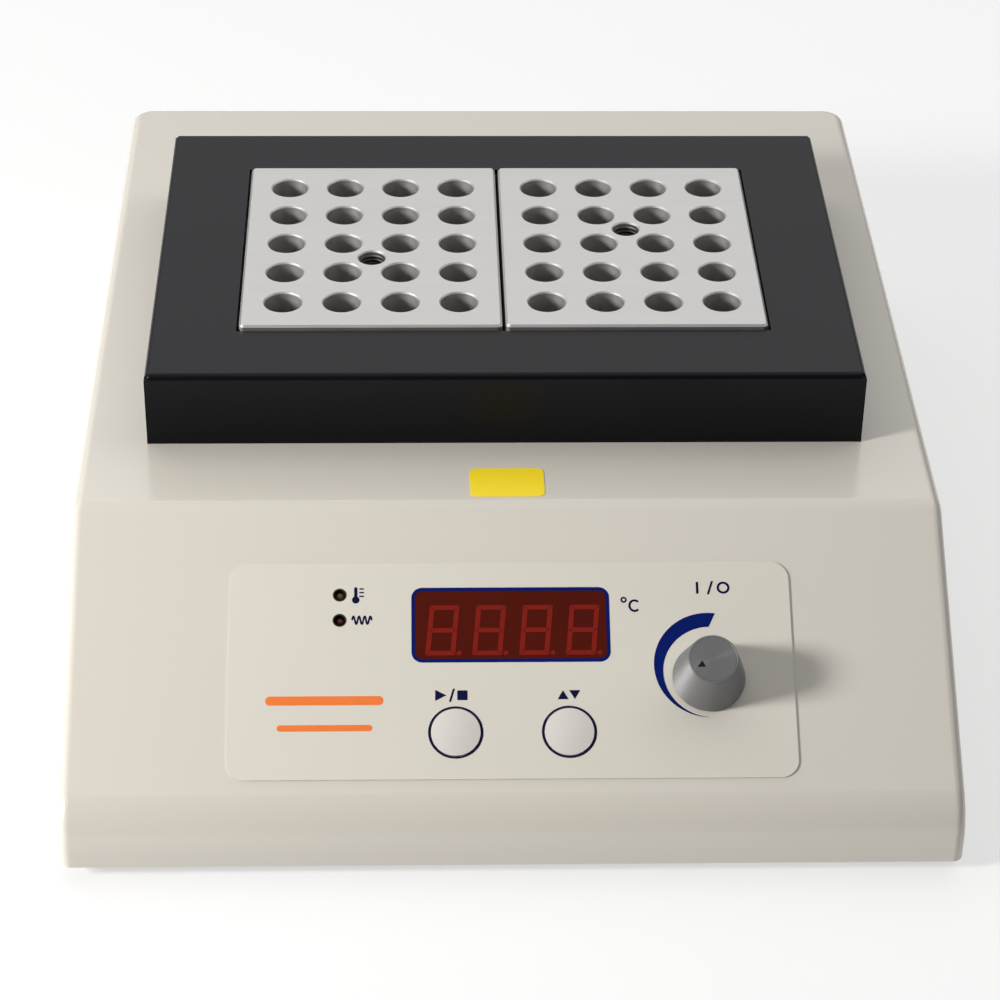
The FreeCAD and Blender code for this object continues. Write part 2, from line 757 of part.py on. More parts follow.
def pillar_screws():
    made = screw(BASE_Z, BASE_T + SCREW_GRIP - SCREW_SPARE, True)
    return group(moved(made, x, y) for x, y in pillar_places())


def temperature_probe():
    return rod(PROBE_R, PAD_TOP, PLATE_Z + PROBE_DEEP - PROBE_CLEAR, 0, BLOCK_Y)


def thermal_cutout():
    """The safety thermostat on the front of the tray."""
    face = BLOCK_Y - COLLAR_D / 2 - TRAY_T
    z = TRAY_Z + TRAY_WALL_H / 2
    disc = Part.makeCylinder(CUTOUT_R, CUTOUT_T, Vector(0, face - CUTOUT_T, z), Vector(0, 1, 0))
    reach = CUTOUT_R + CUTOUT_TAB_L
    half = CUTOUT_TAB_W / 2
    tabs = box(-reach, reach, face - CUTOUT_TAB_T, face, z - half, z + half)
    return disc.fuse(tabs).removeSplitter()


def bent_strip(points, half, bend):
    """The outline of an even strip along points, as its corners and the radius of each."""
    count = len(points)
    sides = [[], []]
    for i in range(count):
        here = Vector(*points[i], 0)
        into = (here - Vector(*points[i - 1], 0)).normalize() if i else None
        out = (Vector(*points[i + 1], 0) - here).normalize() if i < count - 1 else None
        into = into or out
        out = out or into
        left_in = Vector(-into.y, into.x, 0)
        left_out = Vector(-out.y, out.x, 0)
        mitre = (left_in + left_out).normalize()
        reach = half / mitre.dot(left_in)
        turn = into.cross(out).z
        for k, sign in enumerate((1, -1)):
            inside = turn * sign > 0
            radius = 0.0
            if abs(turn) > NEAR:
                radius = bend - half if inside else bend + half
            at = here + mitre * (sign * reach)
            sides[k].append(((at.x, at.y), radius))
    outline = sides[0] + sides[1][::-1]
    return [c for c, _ in outline], [r for _, r in outline]


def ribbon_cable():
    """The flat cable from the display board, along the base under the tray, to the power board."""
    start = slope_height(0, BOARD_END_V - HEADER_EDGE, BOARD_H - BOARD_T - HEADER_T)
    floor = BASE_TOP + RIBBON_LIFT
    fall = (start.z - floor) / math.cos(SLOPE)
    up_y = POWER_Y0 - RIBBON_FRONT
    end_z = POWER_TOP + HEADER_T / 2
    points = [
        (start.y, start.z),
        (start.y + fall * math.sin(SLOPE), floor),
        (up_y, floor),
        (up_y, end_z),
        (POWER_Y0, end_z),
    ]
    corners, radii = bent_strip(points, RIBBON_T / 2, RIBBON_BEND_R)
    x0 = RIBBON_U - RIBBON_W / 2
    face = rounded_face(corners, radii, lambda y, z: Vector(x0, y, z))
    return face.extrude(Vector(RIBBON_W, 0, 0))


def ribbon_headers():
    """The two sockets that the flat cable ends in."""
    top = BOARD_H - BOARD_T
    on_display = slab(HEADER_W, HEADER_L, top - HEADER_T, top)
    on_display = on_slope(on_display, RIBBON_U, BOARD_END_V - HEADER_EDGE)
    y = POWER_Y0 + HEADER_L / 2
    on_power = slab(HEADER_W, HEADER_L, POWER_TOP, POWER_TOP + HEADER_T, RIBBON_U, y)
    return group([on_display, on_power])


def bent_rod(points, r, bend):
    """A round lead along points that share one X, with round bends."""
    path = []
    last = points[0]
    for i in range(1, len(points) - 1):
        here = points[i]
        back = (points[i - 1] - here).normalize()
        ahead = (points[i + 1] - here).normalize()
        half = back.getAngle(ahead) / 2
        run = bend / math.tan(half)
        inward = (back + ahead).normalize()
        middle = here + inward * (bend / math.sin(half) - bend)
        path.append(Part.LineSegment(last, here + back * run).toShape())
        path.append(Part.Arc(here + back * run, middle, here + ahead * run).toShape())
        last = here + ahead * run
    path.append(Part.LineSegment(last, points[-1]).toShape())
    section = Part.Wire(Part.makeCircle(r, points[0], points[1] - points[0]))
    return Part.Wire(path).makePipeShell([section], True, True)


def heater_leads():
    """The leads from the heater mats, out at the back of the tray, to the terminal block."""
    y0 = BLOCK_Y + WELL_D / 2 - MAT_INSET
    y1 = BLOCK_Y + COLLAR_D / 2 + TRAY_T + LEAD_BEND_R
    z0 = PAD_TOP + MAT_T / 2
    z1 = POWER_TOP + TERMINAL_H / 2
    y2 = y1 + LEAD_SLANT
    routes = [
        [Vector(x, y0, z0), Vector(x, y1, z0), Vector(x, y2, z1), Vector(x, POWER_Y0, z1)]
        for x in lead_xs()
    ]
    return group(bent_rod(route, LEAD_R, LEAD_BEND_R) for route in routes)


def terminal_block():
    """The screw terminals that the heater leads end in."""
    half = TERMINAL_W / 2
    body = box(-half, half, POWER_Y0, POWER_Y0 + TERMINAL_D, POWER_TOP, POWER_TOP + TERMINAL_H)
    top = POWER_TOP + TERMINAL_H
    y = POWER_Y0 + TERMINAL_D / 2
    low = top - TERMINAL_SCREW_DEEP
    return body.cut([rod(TERMINAL_SCREW_R, low, top + OVER, x, y) for x in lead_xs()])


def control_panel():
    """The printed overlay on the sloped front."""
    sheet = on_slope(rounded_slab(PANEL_W, PANEL_L, PANEL_R, 0, PANEL_T), 0, PANEL_V)
    return sheet.cut(slope_holes(OVER, PANEL_T + OVER))


def display_window():
    """The red filter: its face fills the panel's window, its lip lies behind the wall, and it is
    hollow behind to take the module."""
    back = -WALL - WINDOW_LIP_T
    face = rounded_slab(DISPLAY_W, DISPLAY_L, DISPLAY_R, back, PANEL_T)
    lip_w = DISPLAY_W + 2 * WINDOW_LIP
    lip_l = DISPLAY_L + 2 * WINDOW_LIP
    lip = rounded_slab(lip_w, lip_l, DISPLAY_R, back, -WALL)
    hollow_w = MODULE_W + 2 * MODULE_FIT
    hollow_l = MODULE_L + 2 * MODULE_FIT
    hollow = slab(hollow_w, hollow_l, back - OVER, PANEL_T - WINDOW_T)
    return on_slope(face.fuse(lip).cut(hollow).removeSplitter(), 0, DISPLAY_V)


def display_module():
    return on_slope(slab(MODULE_W, MODULE_L, BOARD_H, BOARD_H + MODULE_T), 0, DISPLAY_V)


def display_board():
    """The circuit board behind the sloped front."""
    width = BOARD_RIGHT - BOARD_LEFT
    length = BOARD_END_V - BOARD_TOP_V
    board = on_slope(
        rounded_slab(width, length, BOARD_T, BOARD_H - BOARD_T, BOARD_H),
        (BOARD_LEFT + BOARD_RIGHT) / 2,
        (BOARD_TOP_V + BOARD_END_V) / 2,
    )
    hole = rod(HOLE_R, BOARD_H - BOARD_T - OVER, BOARD_H + OVER)
    return board.cut([on_slope(hole, u, v) for u, v in board_hole_places()])


def board_standoffs():
    hole = rod(HOLE_R, BOARD_H - OVER, BOARD_H + SCREW_GRIP)
    post = rod(STANDOFF_R, BOARD_H, -WALL).cut(hole)
    return group(on_slope(post, u, v) for u, v in board_hole_places())


def board_screws():
    made = screw(BOARD_H - BOARD_T, BOARD_T + SCREW_GRIP - SCREW_SPARE, True)
    return group(on_slope(made, u, v) for u, v in board_hole_places())


def light_pipe(v):
    """A domed indicator light that stands on the board and ends inside its hole in the panel."""
    top = PANEL_T - LIGHT_SUNK
    body = rod(LIGHT_R, BOARD_H, top)
    return on_slope(body.makeFillet(LIGHT_DOME, top_edges(body, top)), LIGHT_U, v)


def button_cap(u):
    """A round push button with a crowned face, a lip that stops it behind the wall, and a stem."""
    rim = PANEL_T + BUTTON_PROUD
    lip_z = -WALL - BUTTON_LIP_T
    stem_z = BOARD_H + SWITCH_H + PLUNGER_PROUD
    corners = [
        (0, stem_z),
        (BUTTON_STEM_R, stem_z),
        (BUTTON_STEM_R, lip_z),
        (BUTTON_R + BUTTON_LIP, lip_z),
        (BUTTON_R + BUTTON_LIP, -WALL),
        (BUTTON_R, -WALL),
        (BUTTON_R, rim),
    ]
    points = [Vector(r, 0, z) for r, z in corners]
    crown = Vector(0, 0, rim + BUTTON_CROWN)
    sphere_r = (BUTTON_R**2 + BUTTON_CROWN**2) / (2 * BUTTON_CROWN)
    half = BUTTON_R / 2
    shoulder = Vector(half, 0, crown.z - sphere_r + math.sqrt(sphere_r**2 - half**2))
    edges = Part.makePolygon(points).Edges
    edges.append(Part.Arc(points[-1], shoulder, crown).toShape())
    edges.append(Part.LineSegment(crown, points[0]).toShape())
    made = Part.Face(Part.Wire(edges)).revolve(Vector(0, 0, 0), Vector(0, 0, 1), 360)
    return on_slope(made, u, BUTTON_V)


def button_switch(u):
    """The small switch on the board under a button."""
    body = slab(SWITCH_W, SWITCH_W, BOARD_H, BOARD_H + SWITCH_H)
    floor = BOARD_H + SWITCH_H - PLUNGER_DEEP - BUTTON_TRAVEL - PLUNGER_CLEAR
    bore = rod(PLUNGER_R + PLUNGER_CLEAR, floor, BOARD_H + SWITCH_H + OVER)
    return on_slope(body.cut(bore), u, BUTTON_V)


def button_plunger(u):
    """The switch's own plunger, which the button's stem pushes."""
    top = BOARD_H + SWITCH_H
    return on_slope(rod(PLUNGER_R, top - PLUNGER_DEEP, top + PLUNGER_PROUD), u, BUTTON_V)


def knob_base():
    return PANEL_T + KNOB_GAP


def control_knob():
    """The tapered knob, hollow below to cover the nut, with a seat for its cap."""
    base = knob_base()
    top = base + KNOB_H
    body = taper(KNOB_BASE_R, KNOB_TOP_R, base, top)
    body = body.makeFillet(KNOB_RIM_R, top_edges(body, top))
    hollow = rod(KNOB_HOLLOW_R, base - OVER, base + KNOB_HOLLOW)
    bore = rod(SHAFT_R + SHAFT_FIT, base, top - CAP_T - SHAFT_END)
    seat = rod(CAP_R + CAP_FIT, top - CAP_T, top + OVER)
    return on_slope(body.cut([hollow, bore, seat]), KNOB_U, KNOB_V)


def knob_cap():
    top = knob_base() + KNOB_H
    return on_slope(rod(CAP_R, top - CAP_T, top), KNOB_U, KNOB_V)


def rotary_shaft():
    top = knob_base() + KNOB_H - CAP_T - SHAFT_END
    low = -WALL - ROTARY_T + SHAFT_END
    return on_slope(rod(SHAFT_R, low, top), KNOB_U, KNOB_V)


def rotary_control():
    """The rotary control under the wall, with its threaded bush and its legs."""
    floor = -WALL - ROTARY_T
    body = rod(ROTARY_R, floor, -WALL)
    bush = rod(BUSH_R, -WALL, PANEL_T + BUSH_H)
    legs = []
    for i in (-1, 0, 1):
        leg = slab(ROTARY_LEG_W, ROTARY_LEG_W, floor - ROTARY_LEG_L, floor)
        legs.append(moved(leg, i * ROTARY_LEG_PITCH, -ROTARY_LEG_V))
    bore = rod(SHAFT_R + SHAFT_CLEAR, floor + SHAFT_END - SHAFT_CLEAR, PANEL_T + BUSH_H + OVER)
    return on_slope(body.fuse([bush] + legs).cut(bore).removeSplitter(), KNOB_U, KNOB_V)


def rotary_washer():
    ring = rod(WASHER_R, PANEL_T, PANEL_T + WASHER_T).cut(rod(BUSH_R + SHAFT_FIT, 0, BUSH_H))
    return on_slope(ring, KNOB_U, KNOB_V)


def rotary_nut():
    low = PANEL_T + WASHER_T
    nut = hexagon(NUT_FLATS, low, low + NUT_T).cut(rod(BUSH_R + SHAFT_FIT, 0, low + NUT_T + OVER))
    return on_slope(nut, KNOB_U, KNOB_V)


def power_board():
    plate = box(-POWER_X, POWER_X, POWER_Y0, POWER_Y1, POWER_Z, POWER_TOP)
    hole = rod(HOLE_R, POWER_Z - OVER, POWER_TOP + OVER)
    return plate.cut([moved(hole, x, y) for x, y in power_hole_places()])


def power_standoffs():
    post = rod(STANDOFF_R, BASE_TOP, POWER_Z).cut(rod(HOLE_R, BASE_TOP - OVER, POWER_Z + OVER))
    return group(moved(post, x, y) for x, y in power_hole_places())


def power_screws():
    made = screw(POWER_TOP, BOARD_T + STANDOFF_H + BASE_T, False)
    return group(moved(made, x, y) for x, y in power_hole_places())


def transformer():
    """The mains transformer at the right of the power board: a core with its coil."""
    x = POWER_X - CORE_EDGE - CORE_W / 2
    y = (POWER_Y0 + POWER_Y1) / 2
    core = slab(CORE_W, CORE_D, POWER_TOP, POWER_TOP + CORE_H, x, y)
    low = POWER_TOP + (CORE_H - COIL_H) / 2
    coil = slab(CORE_W - 2 * COIL_PROUD, CORE_D + 2 * COIL_PROUD, low, low + COIL_H, x, y)
    return core.fuse(coil).removeSplitter()


def sink_x():
    """The left side of the heatsink, which stands beside the transformer."""
    return POWER_X - CORE_EDGE - CORE_W - PART_SPACE - SINK_W


def triac_heatsink():
    """A finned heatsink standing across the power board."""
    x0 = sink_x()
    y1 = POWER_Y1 - POWER_HOLE_INSET
    y0 = y1 - SINK_FIN_L
    back = box(x0, x0 + SINK_W, y0 - SINK_BACK_T, y0, POWER_TOP, POWER_TOP + SINK_H)
    step = (SINK_W - SINK_FIN_T) / (SINK_FINS - 1)
    fins = []
    for i in range(SINK_FINS):
        x = x0 + i * step
        fins.append(box(x, x + SINK_FIN_T, y0, y1, POWER_TOP, POWER_TOP + SINK_H))
    return back.fuse(fins).removeSplitter()


def triac():
    x = sink_x() + SINK_W / 2
    y1 = POWER_Y1 - POWER_HOLE_INSET - SINK_FIN_L - SINK_BACK_T
    return box(x - TRIAC_W / 2, x + TRIAC_W / 2, y1 - TRIAC_T, y1, POWER_TOP, POWER_TOP + TRIAC_H)


def mains_capacitor():
    x1 = sink_x() - PART_SPACE
    y1 = POWER_Y1 - POWER_HOLE_INSET
    return box(x1 - CAPACITOR_W, x1, y1 - CAPACITOR_D, y1, POWER_TOP, POWER_TOP + CAPACITOR_H)


def mains_inlet():
    """The mains socket with its flange and the slot for the fuse drawer."""
    flange = upright_plate(INLET_FLANGE_W, INLET_FLANGE_H, INLET_FLANGE_R, 0.0)
    body = moved(flange.extrude(Vector(0, INLET_FLANGE_T, 0)), 0, INLET_FACE_Y - INLET_FLANGE_T)
    y0 = INLET_FACE_Y - INLET_BODY_D
    body = body.fuse(inlet_box(INLET_BODY_W, INLET_BODY_H, y0, INLET_FACE_Y - OVER, INLET_Z))
    wide = SOCKET_W / 2
    tall = SOCKET_H / 2
    corners = [
        (-wide, -tall),
        (wide, -tall),
        (wide, tall - SOCKET_CUT),
        (wide - SOCKET_CUT, tall),
        (SOCKET_CUT - wide, tall),
        (-wide, tall - SOCKET_CUT),
    ]
    floor = INLET_FACE_Y - SOCKET_DEEP
    radii = [SOCKET_R] * len(corners)
    socket = rounded_face(corners, radii, lambda a, b: Vector(INLET_X + a, floor, SOCKET_Z + b))
    slot_w = DRAWER_W + 2 * DRAWER_CLEAR
    slot_h = DRAWER_H + 2 * DRAWER_CLEAR
    end = INLET_FACE_Y - DRAWER_D - DRAWER_CLEAR
    slot = inlet_box(slot_w, slot_h, end, BACK_Y + OVER, DRAWER_Z)
    cutters = [socket.extrude(Vector(0, SOCKET_DEEP + OVER, 0)), slot]
    cutters += [pin_blade(x, z, SCREW_CLEAR) for x, z in pin_places()]
    for x in inlet_screw_xs():
        cutters.append(back_rod(HOLE_R, x, y0, BACK_Y))
        cutters.append(screw_head(x, SCREW_CLEAR))
    return body.cut(cutters).removeSplitter()


def screw_head(x, grow):
    """The sunk head of a flange screw, flush with the flange."""
    low = INLET_FACE_Y - HEAD_H + grow
    return Part.makeCone(SCREW_R + grow, HEAD_R + grow, HEAD_H, Vector(x, low, INLET_Z), Vector(0, 1, 0))


def inlet_screws():
    y0 = BACK_Y - WALL - INLET_PAD
    low = INLET_FACE_Y - HEAD_SLOT_DEEP
    high = INLET_FACE_Y + OVER
    screws = []
    for x in inlet_screw_xs():
        shank = back_rod(SCREW_R, x, y0, INLET_FACE_Y - HEAD_H)
        slots = [
            moved(inlet_box(width, height, low, high, INLET_Z), x - INLET_X, 0)
            for width, height in ((HEAD_SLOT_L, HEAD_SLOT_W), (HEAD_SLOT_W, HEAD_SLOT_L))
        ]
        screws.append(shank.fuse(screw_head(x, 0.0)).removeSplitter().cut(slots))
    return group(screws)


def pin_places():
    """The two line pins, and the earth pin above and between them."""
    low = SOCKET_Z - PIN_EARTH_RISE / 2
    return [(INLET_X - PIN_X, low), (INLET_X, low + PIN_EARTH_RISE), (INLET_X + PIN_X, low)]


def pin_blade(x, z, grow):
    """A pin through the inlet's body, from inside the socket to its tail behind."""
    y0 = INLET_FACE_Y - INLET_BODY_D - PIN_TAIL
    y1 = INLET_FACE_Y - PIN_SHORT
    half_w = PIN_W / 2 + grow
    half_h = PIN_H / 2 + grow
    return box(x - half_w, x + half_w, y0, y1, z - half_h, z + half_h)


def inlet_pins():
    """The three pins, each with its tail turned down to the power board."""
    pins = []
    y0 = INLET_FACE_Y - INLET_BODY_D - PIN_TAIL
    for x, z in pin_places():
        tail = box(x - PIN_W / 2, x + PIN_W / 2, y0, y0 + PIN_W, POWER_TOP, z)
        pins.append(pin_blade(x, z, 0.0).fuse(tail).removeSplitter())
    return group(pins)


def fuse_pocket():
    """The depth of the drawer's pocket, which holds the fuses one behind the other."""
    return FUSE_COUNT * (2 * FUSE_R + FUSE_SPACE)


def fuse_drawer():
    """The drawer above the socket, with its pocket for the fuses and a grip in its face."""
    y0 = INLET_FACE_Y - DRAWER_D
    body = inlet_box(DRAWER_W, DRAWER_H, y0, INLET_FACE_Y, DRAWER_Z)
    pocket_y = y0 + DRAWER_WALL
    pocket_w = FUSE_L + 2 * FUSE_SPACE
    pocket = inlet_box(pocket_w, DRAWER_H, pocket_y, pocket_y + fuse_pocket(), DRAWER_Z + DRAWER_WALL)
    start = Vector(INLET_X - DRAWER_GRIP_W / 2, INLET_FACE_Y, DRAWER_Z + DRAWER_H / 2)
    grip = Part.makeCylinder(DRAWER_GRIP_R, DRAWER_GRIP_W, start, Vector(1, 0, 0))
    return body.cut([pocket, grip])


def fuses():
    """The glass fuses lying in the drawer."""
    y = INLET_FACE_Y - DRAWER_D + DRAWER_WALL + FUSE_SPACE / 2 + FUSE_R
    z = DRAWER_Z - DRAWER_H / 2 + DRAWER_WALL + FUSE_R
    step = 2 * FUSE_R + FUSE_SPACE
    starts = [Vector(INLET_X - FUSE_L / 2, y + i * step, z) for i in range(FUSE_COUNT)]
    return group(Part.makeCylinder(FUSE_R, FUSE_L, start, Vector(1, 0, 0)) for start in starts)


def build():
    """Every piece of the heater, by its name."""
    nodes = {
        "housing_shell": housing_shell(),
        "base_plate": base_plate(),
        "foot_screws": foot_screws(),
        "base_screws": base_screws(),
        "block_surround": block_surround(),
        "surround_screws": surround_screws(),
        "block_left": placed_block(-1),
        "block_right": placed_block(1),
        "heating_plate": heating_plate(),
        "well_liner": well_liner(),
        "heater_mat_left": heater_mat(-1),
        "heater_mat_right": heater_mat(1),
        "insulation_base": insulation_base(),
        "insulation_collar": insulation_collar(),
        "heater_tray": heater_tray(),
        "tray_pillars": tray_pillars(),
        "pillar_screws": pillar_screws(),
        "temperature_probe": temperature_probe(),
        "thermal_cutout": thermal_cutout(),
        "heater_leads": heater_leads(),
        "control_panel": control_panel(),
        "display_window": display_window(),
        "display_module": display_module(),
        "display_board": display_board(),
        "board_standoffs": board_standoffs(),
        "board_screws": board_screws(),
        "hot_light": light_pipe(HOT_V),
        "heat_light": light_pipe(HEAT_V),
        "ribbon_cable": ribbon_cable(),
        "ribbon_headers": ribbon_headers(),
        "control_knob": control_knob(),
        "knob_cap": knob_cap(),
        "rotary_shaft": rotary_shaft(),
        "rotary_control": rotary_control(),
        "rotary_washer": rotary_washer(),
        "rotary_nut": rotary_nut(),
        "power_board": power_board(),
        "power_standoffs": power_standoffs(),
        "power_screws": power_screws(),
        "transformer": transformer(),
        "triac_heatsink": triac_heatsink(),
        "triac": triac(),
        "mains_capacitor": mains_capacitor(),
        "terminal_block": terminal_block(),
        "mains_inlet": mains_inlet(),
        "inlet_screws": inlet_screws(),
        "inlet_pins": inlet_pins(),
        "fuse_drawer": fuse_drawer(),
        "fuses": fuses(),
    }
    for name, (x, y) in zip(("front_left", "front_right", "rear_left", "rear_right"), foot_places()):
        nodes["foot_" + name] = foot(x, y)
    for name, u in (("start", -BUTTON_U), ("set", BUTTON_U)):
        nodes[name + "_button"] = button_cap(u)
        nodes[name + "_switch"] = button_switch(u)
        nodes[name + "_plunger"] = button_plunger(u)
    return nodes


os.makedirs("parts", exist_ok=True)
for name, shape in build().items():
    shape.exportStep(f"parts/{name}.step")
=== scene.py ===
import json
import math

import bmesh
import bpy
from mathutils import Matrix, Vector


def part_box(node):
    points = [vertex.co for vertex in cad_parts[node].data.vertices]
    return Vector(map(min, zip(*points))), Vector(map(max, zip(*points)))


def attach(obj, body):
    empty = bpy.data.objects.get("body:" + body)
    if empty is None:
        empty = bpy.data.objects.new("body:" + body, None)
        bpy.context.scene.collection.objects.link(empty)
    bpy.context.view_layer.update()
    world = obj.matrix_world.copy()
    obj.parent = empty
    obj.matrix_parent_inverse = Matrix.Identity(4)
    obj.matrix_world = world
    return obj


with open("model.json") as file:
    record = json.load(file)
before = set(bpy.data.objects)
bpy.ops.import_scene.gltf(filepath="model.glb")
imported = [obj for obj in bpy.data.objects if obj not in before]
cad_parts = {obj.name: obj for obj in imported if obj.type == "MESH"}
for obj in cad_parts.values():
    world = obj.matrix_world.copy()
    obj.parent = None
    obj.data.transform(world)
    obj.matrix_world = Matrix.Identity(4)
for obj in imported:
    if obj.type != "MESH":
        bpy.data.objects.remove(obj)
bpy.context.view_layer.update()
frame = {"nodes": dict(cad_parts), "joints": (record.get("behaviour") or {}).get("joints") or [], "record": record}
nodes = frame["nodes"]
joints = {joint["name"]: joint for joint in frame["joints"]}
mounts = {mount["name"]: mount for mount in frame["record"]["mounts"]}

MM = 0.001
WHITE = (1.0, 1.0, 1.0, 1.0)
ROUND_STEPS = 48
CORNER_STEPS = 8

# The sloped front: u across, v down from its top edge and h out of its surface, all in millimetres
KNOB_V = 52.3
ACROSS = Vector((1.0, 0.0, 0.0))
OUT = -Vector(joints["knob_turn"]["axis"]).normalized()
DOWN = Vector((0.0, -OUT.z, OUT.y))
KNOB_AT = Vector(joints["knob_turn"]["pos_m"])
KNOB_U = KNOB_AT.x / MM
SLOPE_TOP = KNOB_AT - (ACROSS * KNOB_U + DOWN * KNOB_V) * MM


def on_slope(u, v, h):
    """A point of the sloped front, in metres."""
    return SLOPE_TOP + (ACROSS * u + DOWN * v + OUT * h) * MM


def reach(name, way):
    """The lowest and highest place of a node along way, from the slope's top edge."""
    places = [(corner.co - SLOPE_TOP).dot(way) / MM for corner in nodes[name].data.vertices]
    return min(places), max(places)


def height(name):
    """How far a node stands out of the sloped front."""
    return reach(name, OUT)[1]


def middle_on_slope(name):
    """The middle of a node on the sloped front, as u and v."""
    return [sum(reach(name, way)) / 2 for way in (ACROSS, DOWN)]


PANEL_TOP = height("control_panel")
CAP_TOP = height("knob_cap")
DECK_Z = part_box("block_surround")[0].z / MM


def on_deck(x, y, h):
    """A point over the deck, in metres."""
    return Vector((x, y, DECK_Z + h)) * MM


# Materials

EDGE_SAMPLES = 4
EDGE_START = 0.985  # cosine of the bend where an edge starts to be painted lighter, as rubbed wear and as a painted highlight
EDGE_FULL = 0.8  # and where it is complete
CLOUD_DETAIL = 4.0
GRAIN_DETAIL = 3.0
LEAST_ROUGH = 0.02
# Sockets of a Mix node that mixes colours
MIX_FACTOR = 0
MIX_LOW = 6
MIX_HIGH = 7
MIX_RESULT = 2


def node(tree, kind, inputs=None, **settings):
    """A shader node with its settings and the values of its inputs."""
    made = tree.nodes.new(kind)
    for key, value in settings.items():
        setattr(made, key, value)
    for key, value in (inputs or {}).items():
        made.inputs[key].default_value = value
    return made


def shade(colour, share):
    """A colour made lighter or darker, with full cover."""
    return (*[min(1.0, c * share) for c in colour], 1.0)


def mixed(tree, factor, low, high):
    """A mix of two colours, each given as a colour or as another node's output."""
    mix = node(tree, "ShaderNodeMix", data_type="RGBA")
    for place, source in ((MIX_FACTOR, factor), (MIX_LOW, low), (MIX_HIGH, high)):
        socket = mix.inputs[place]
        if isinstance(source, bpy.types.NodeSocket):
            tree.links.new(source, socket)
        else:
            socket.default_value = source
    return mix.outputs[MIX_RESULT]


def ranged(tree, source, low, high, to_low, to_high):
    """A value stretched from one range to another, and kept inside it."""
    limits = {"From Min": low, "From Max": high, "To Min": to_low, "To Max": to_high}
    made = node(tree, "ShaderNodeMapRange", limits)
    tree.links.new(source, made.inputs["Value"])
    return made.outputs["Result"]


def edge_share(tree, width, strength):
    """How much a point lies on an outer edge, from 0 to strength."""
    bevel = node(tree, "ShaderNodeBevel", {"Radius": width * MM}, samples=EDGE_SAMPLES)
    geometry = node(tree, "ShaderNodeNewGeometry")
    dot = node(tree, "ShaderNodeVectorMath", operation="DOT_PRODUCT")
    tree.links.new(bevel.outputs["Normal"], dot.inputs[0])
    tree.links.new(geometry.outputs["Normal"], dot.inputs[1])
    return ranged(tree, dot.outputs["Value"], EDGE_START, EDGE_FULL, 0.0, strength)


def finish(name, colour, rough, mottle, grain, vary=0.06, stretch=(1.0, 1.0, 1.0), wear_and_sheen=None, sockets=None):
    """A surface with uneven colour and roughness and a fine grain.

    mottle is the scale and amount of the colour's unevenness, and grain the scale and height in
    millimetres of the bumps. vary is how far the roughness strays, and stretch scales the pattern
    along each axis. wear_and_sheen is the width in millimetres, colour share and strength of edges painted
    lighter, in part as rubbed wear and in part as a painted highlight along the edges.
    sockets are values of the shader's own inputs.
    """
    material = bpy.data.materials.new(name)
    material.use_nodes = True
    tree = material.node_tree
    shader = tree.nodes["Principled BSDF"]
    coords = node(tree, "ShaderNodeTexCoord")
    mapping = node(tree, "ShaderNodeMapping", {"Scale": stretch})
    tree.links.new(coords.outputs["Object"], mapping.inputs["Vector"])
    cloud = node(tree, "ShaderNodeTexNoise", {"Scale": mottle[0], "Detail": CLOUD_DETAIL})
    fine = node(tree, "ShaderNodeTexNoise", {"Scale": grain[0], "Detail": GRAIN_DETAIL})
    for noise in (cloud, fine):
        tree.links.new(mapping.outputs["Vector"], noise.inputs["Vector"])
    paint = mixed(tree, cloud.outputs["Fac"], shade(colour, 1 - mottle[1]), shade(colour, 1 + mottle[1]))
    # Edges are painted lighter: in part rubbed wear, in part a painted highlight where light catches the edges
    if wear_and_sheen:
        width, share, strength = wear_and_sheen
        paint = mixed(tree, edge_share(tree, width, strength), paint, shade(colour, share))
    tree.links.new(paint, shader.inputs["Base Color"])
    smoothest = max(LEAST_ROUGH, rough - vary)
    dull = ranged(tree, fine.outputs["Fac"], 0.0, 1.0, smoothest, min(1.0, rough + vary))
    tree.links.new(dull, shader.inputs["Roughness"])
    bump = node(tree, "ShaderNodeBump", {"Strength": 1.0, "Distance": grain[1] * MM})
    tree.links.new(fine.outputs["Fac"], bump.inputs["Height"])
    tree.links.new(bump.outputs["Normal"], shader.inputs["Normal"])
    for key, value in (sockets or {}).items():
        shader.inputs[key].default_value = value
    return material


METAL = {"Metallic": 1.0}
MATT = {"Specular IOR Level": 0.05}
COOL = (0.93, 0.94, 1.0, 1.0)
LATHE_MOTTLE = (300.0, 0.05)
LATHE_GRAIN = (2500.0, 0.0006)
KNOB_FAR = 1.0  # far under the knob, so that the lines from there run along its side
INK_ROUGH = 0.45
INK_GRAIN = (2600.0, 0.003)


def turned(name, colour, rough, metallic, spread, centre):
    """A surface turned on a lathe, which spreads light along the lines that lead from centre."""
    material = finish(name, colour, rough, LATHE_MOTTLE, LATHE_GRAIN,
                      sockets={"Metallic": metallic, "Anisotropic": spread})
    tree = material.node_tree
    coords = node(tree, "ShaderNodeTexCoord")
    arm = node(tree, "ShaderNodeVectorMath", {1: centre}, operation="SUBTRACT")
    tree.links.new(coords.outputs["Object"], arm.inputs[0])
    tree.links.new(arm.outputs["Vector"], tree.nodes["Principled BSDF"].inputs["Tangent"])
    return material


def ink(name, colour, mottle):
    """Print, which hardly shines."""
    return finish(name, colour, INK_ROUGH, mottle, INK_GRAIN, sockets=MATT)


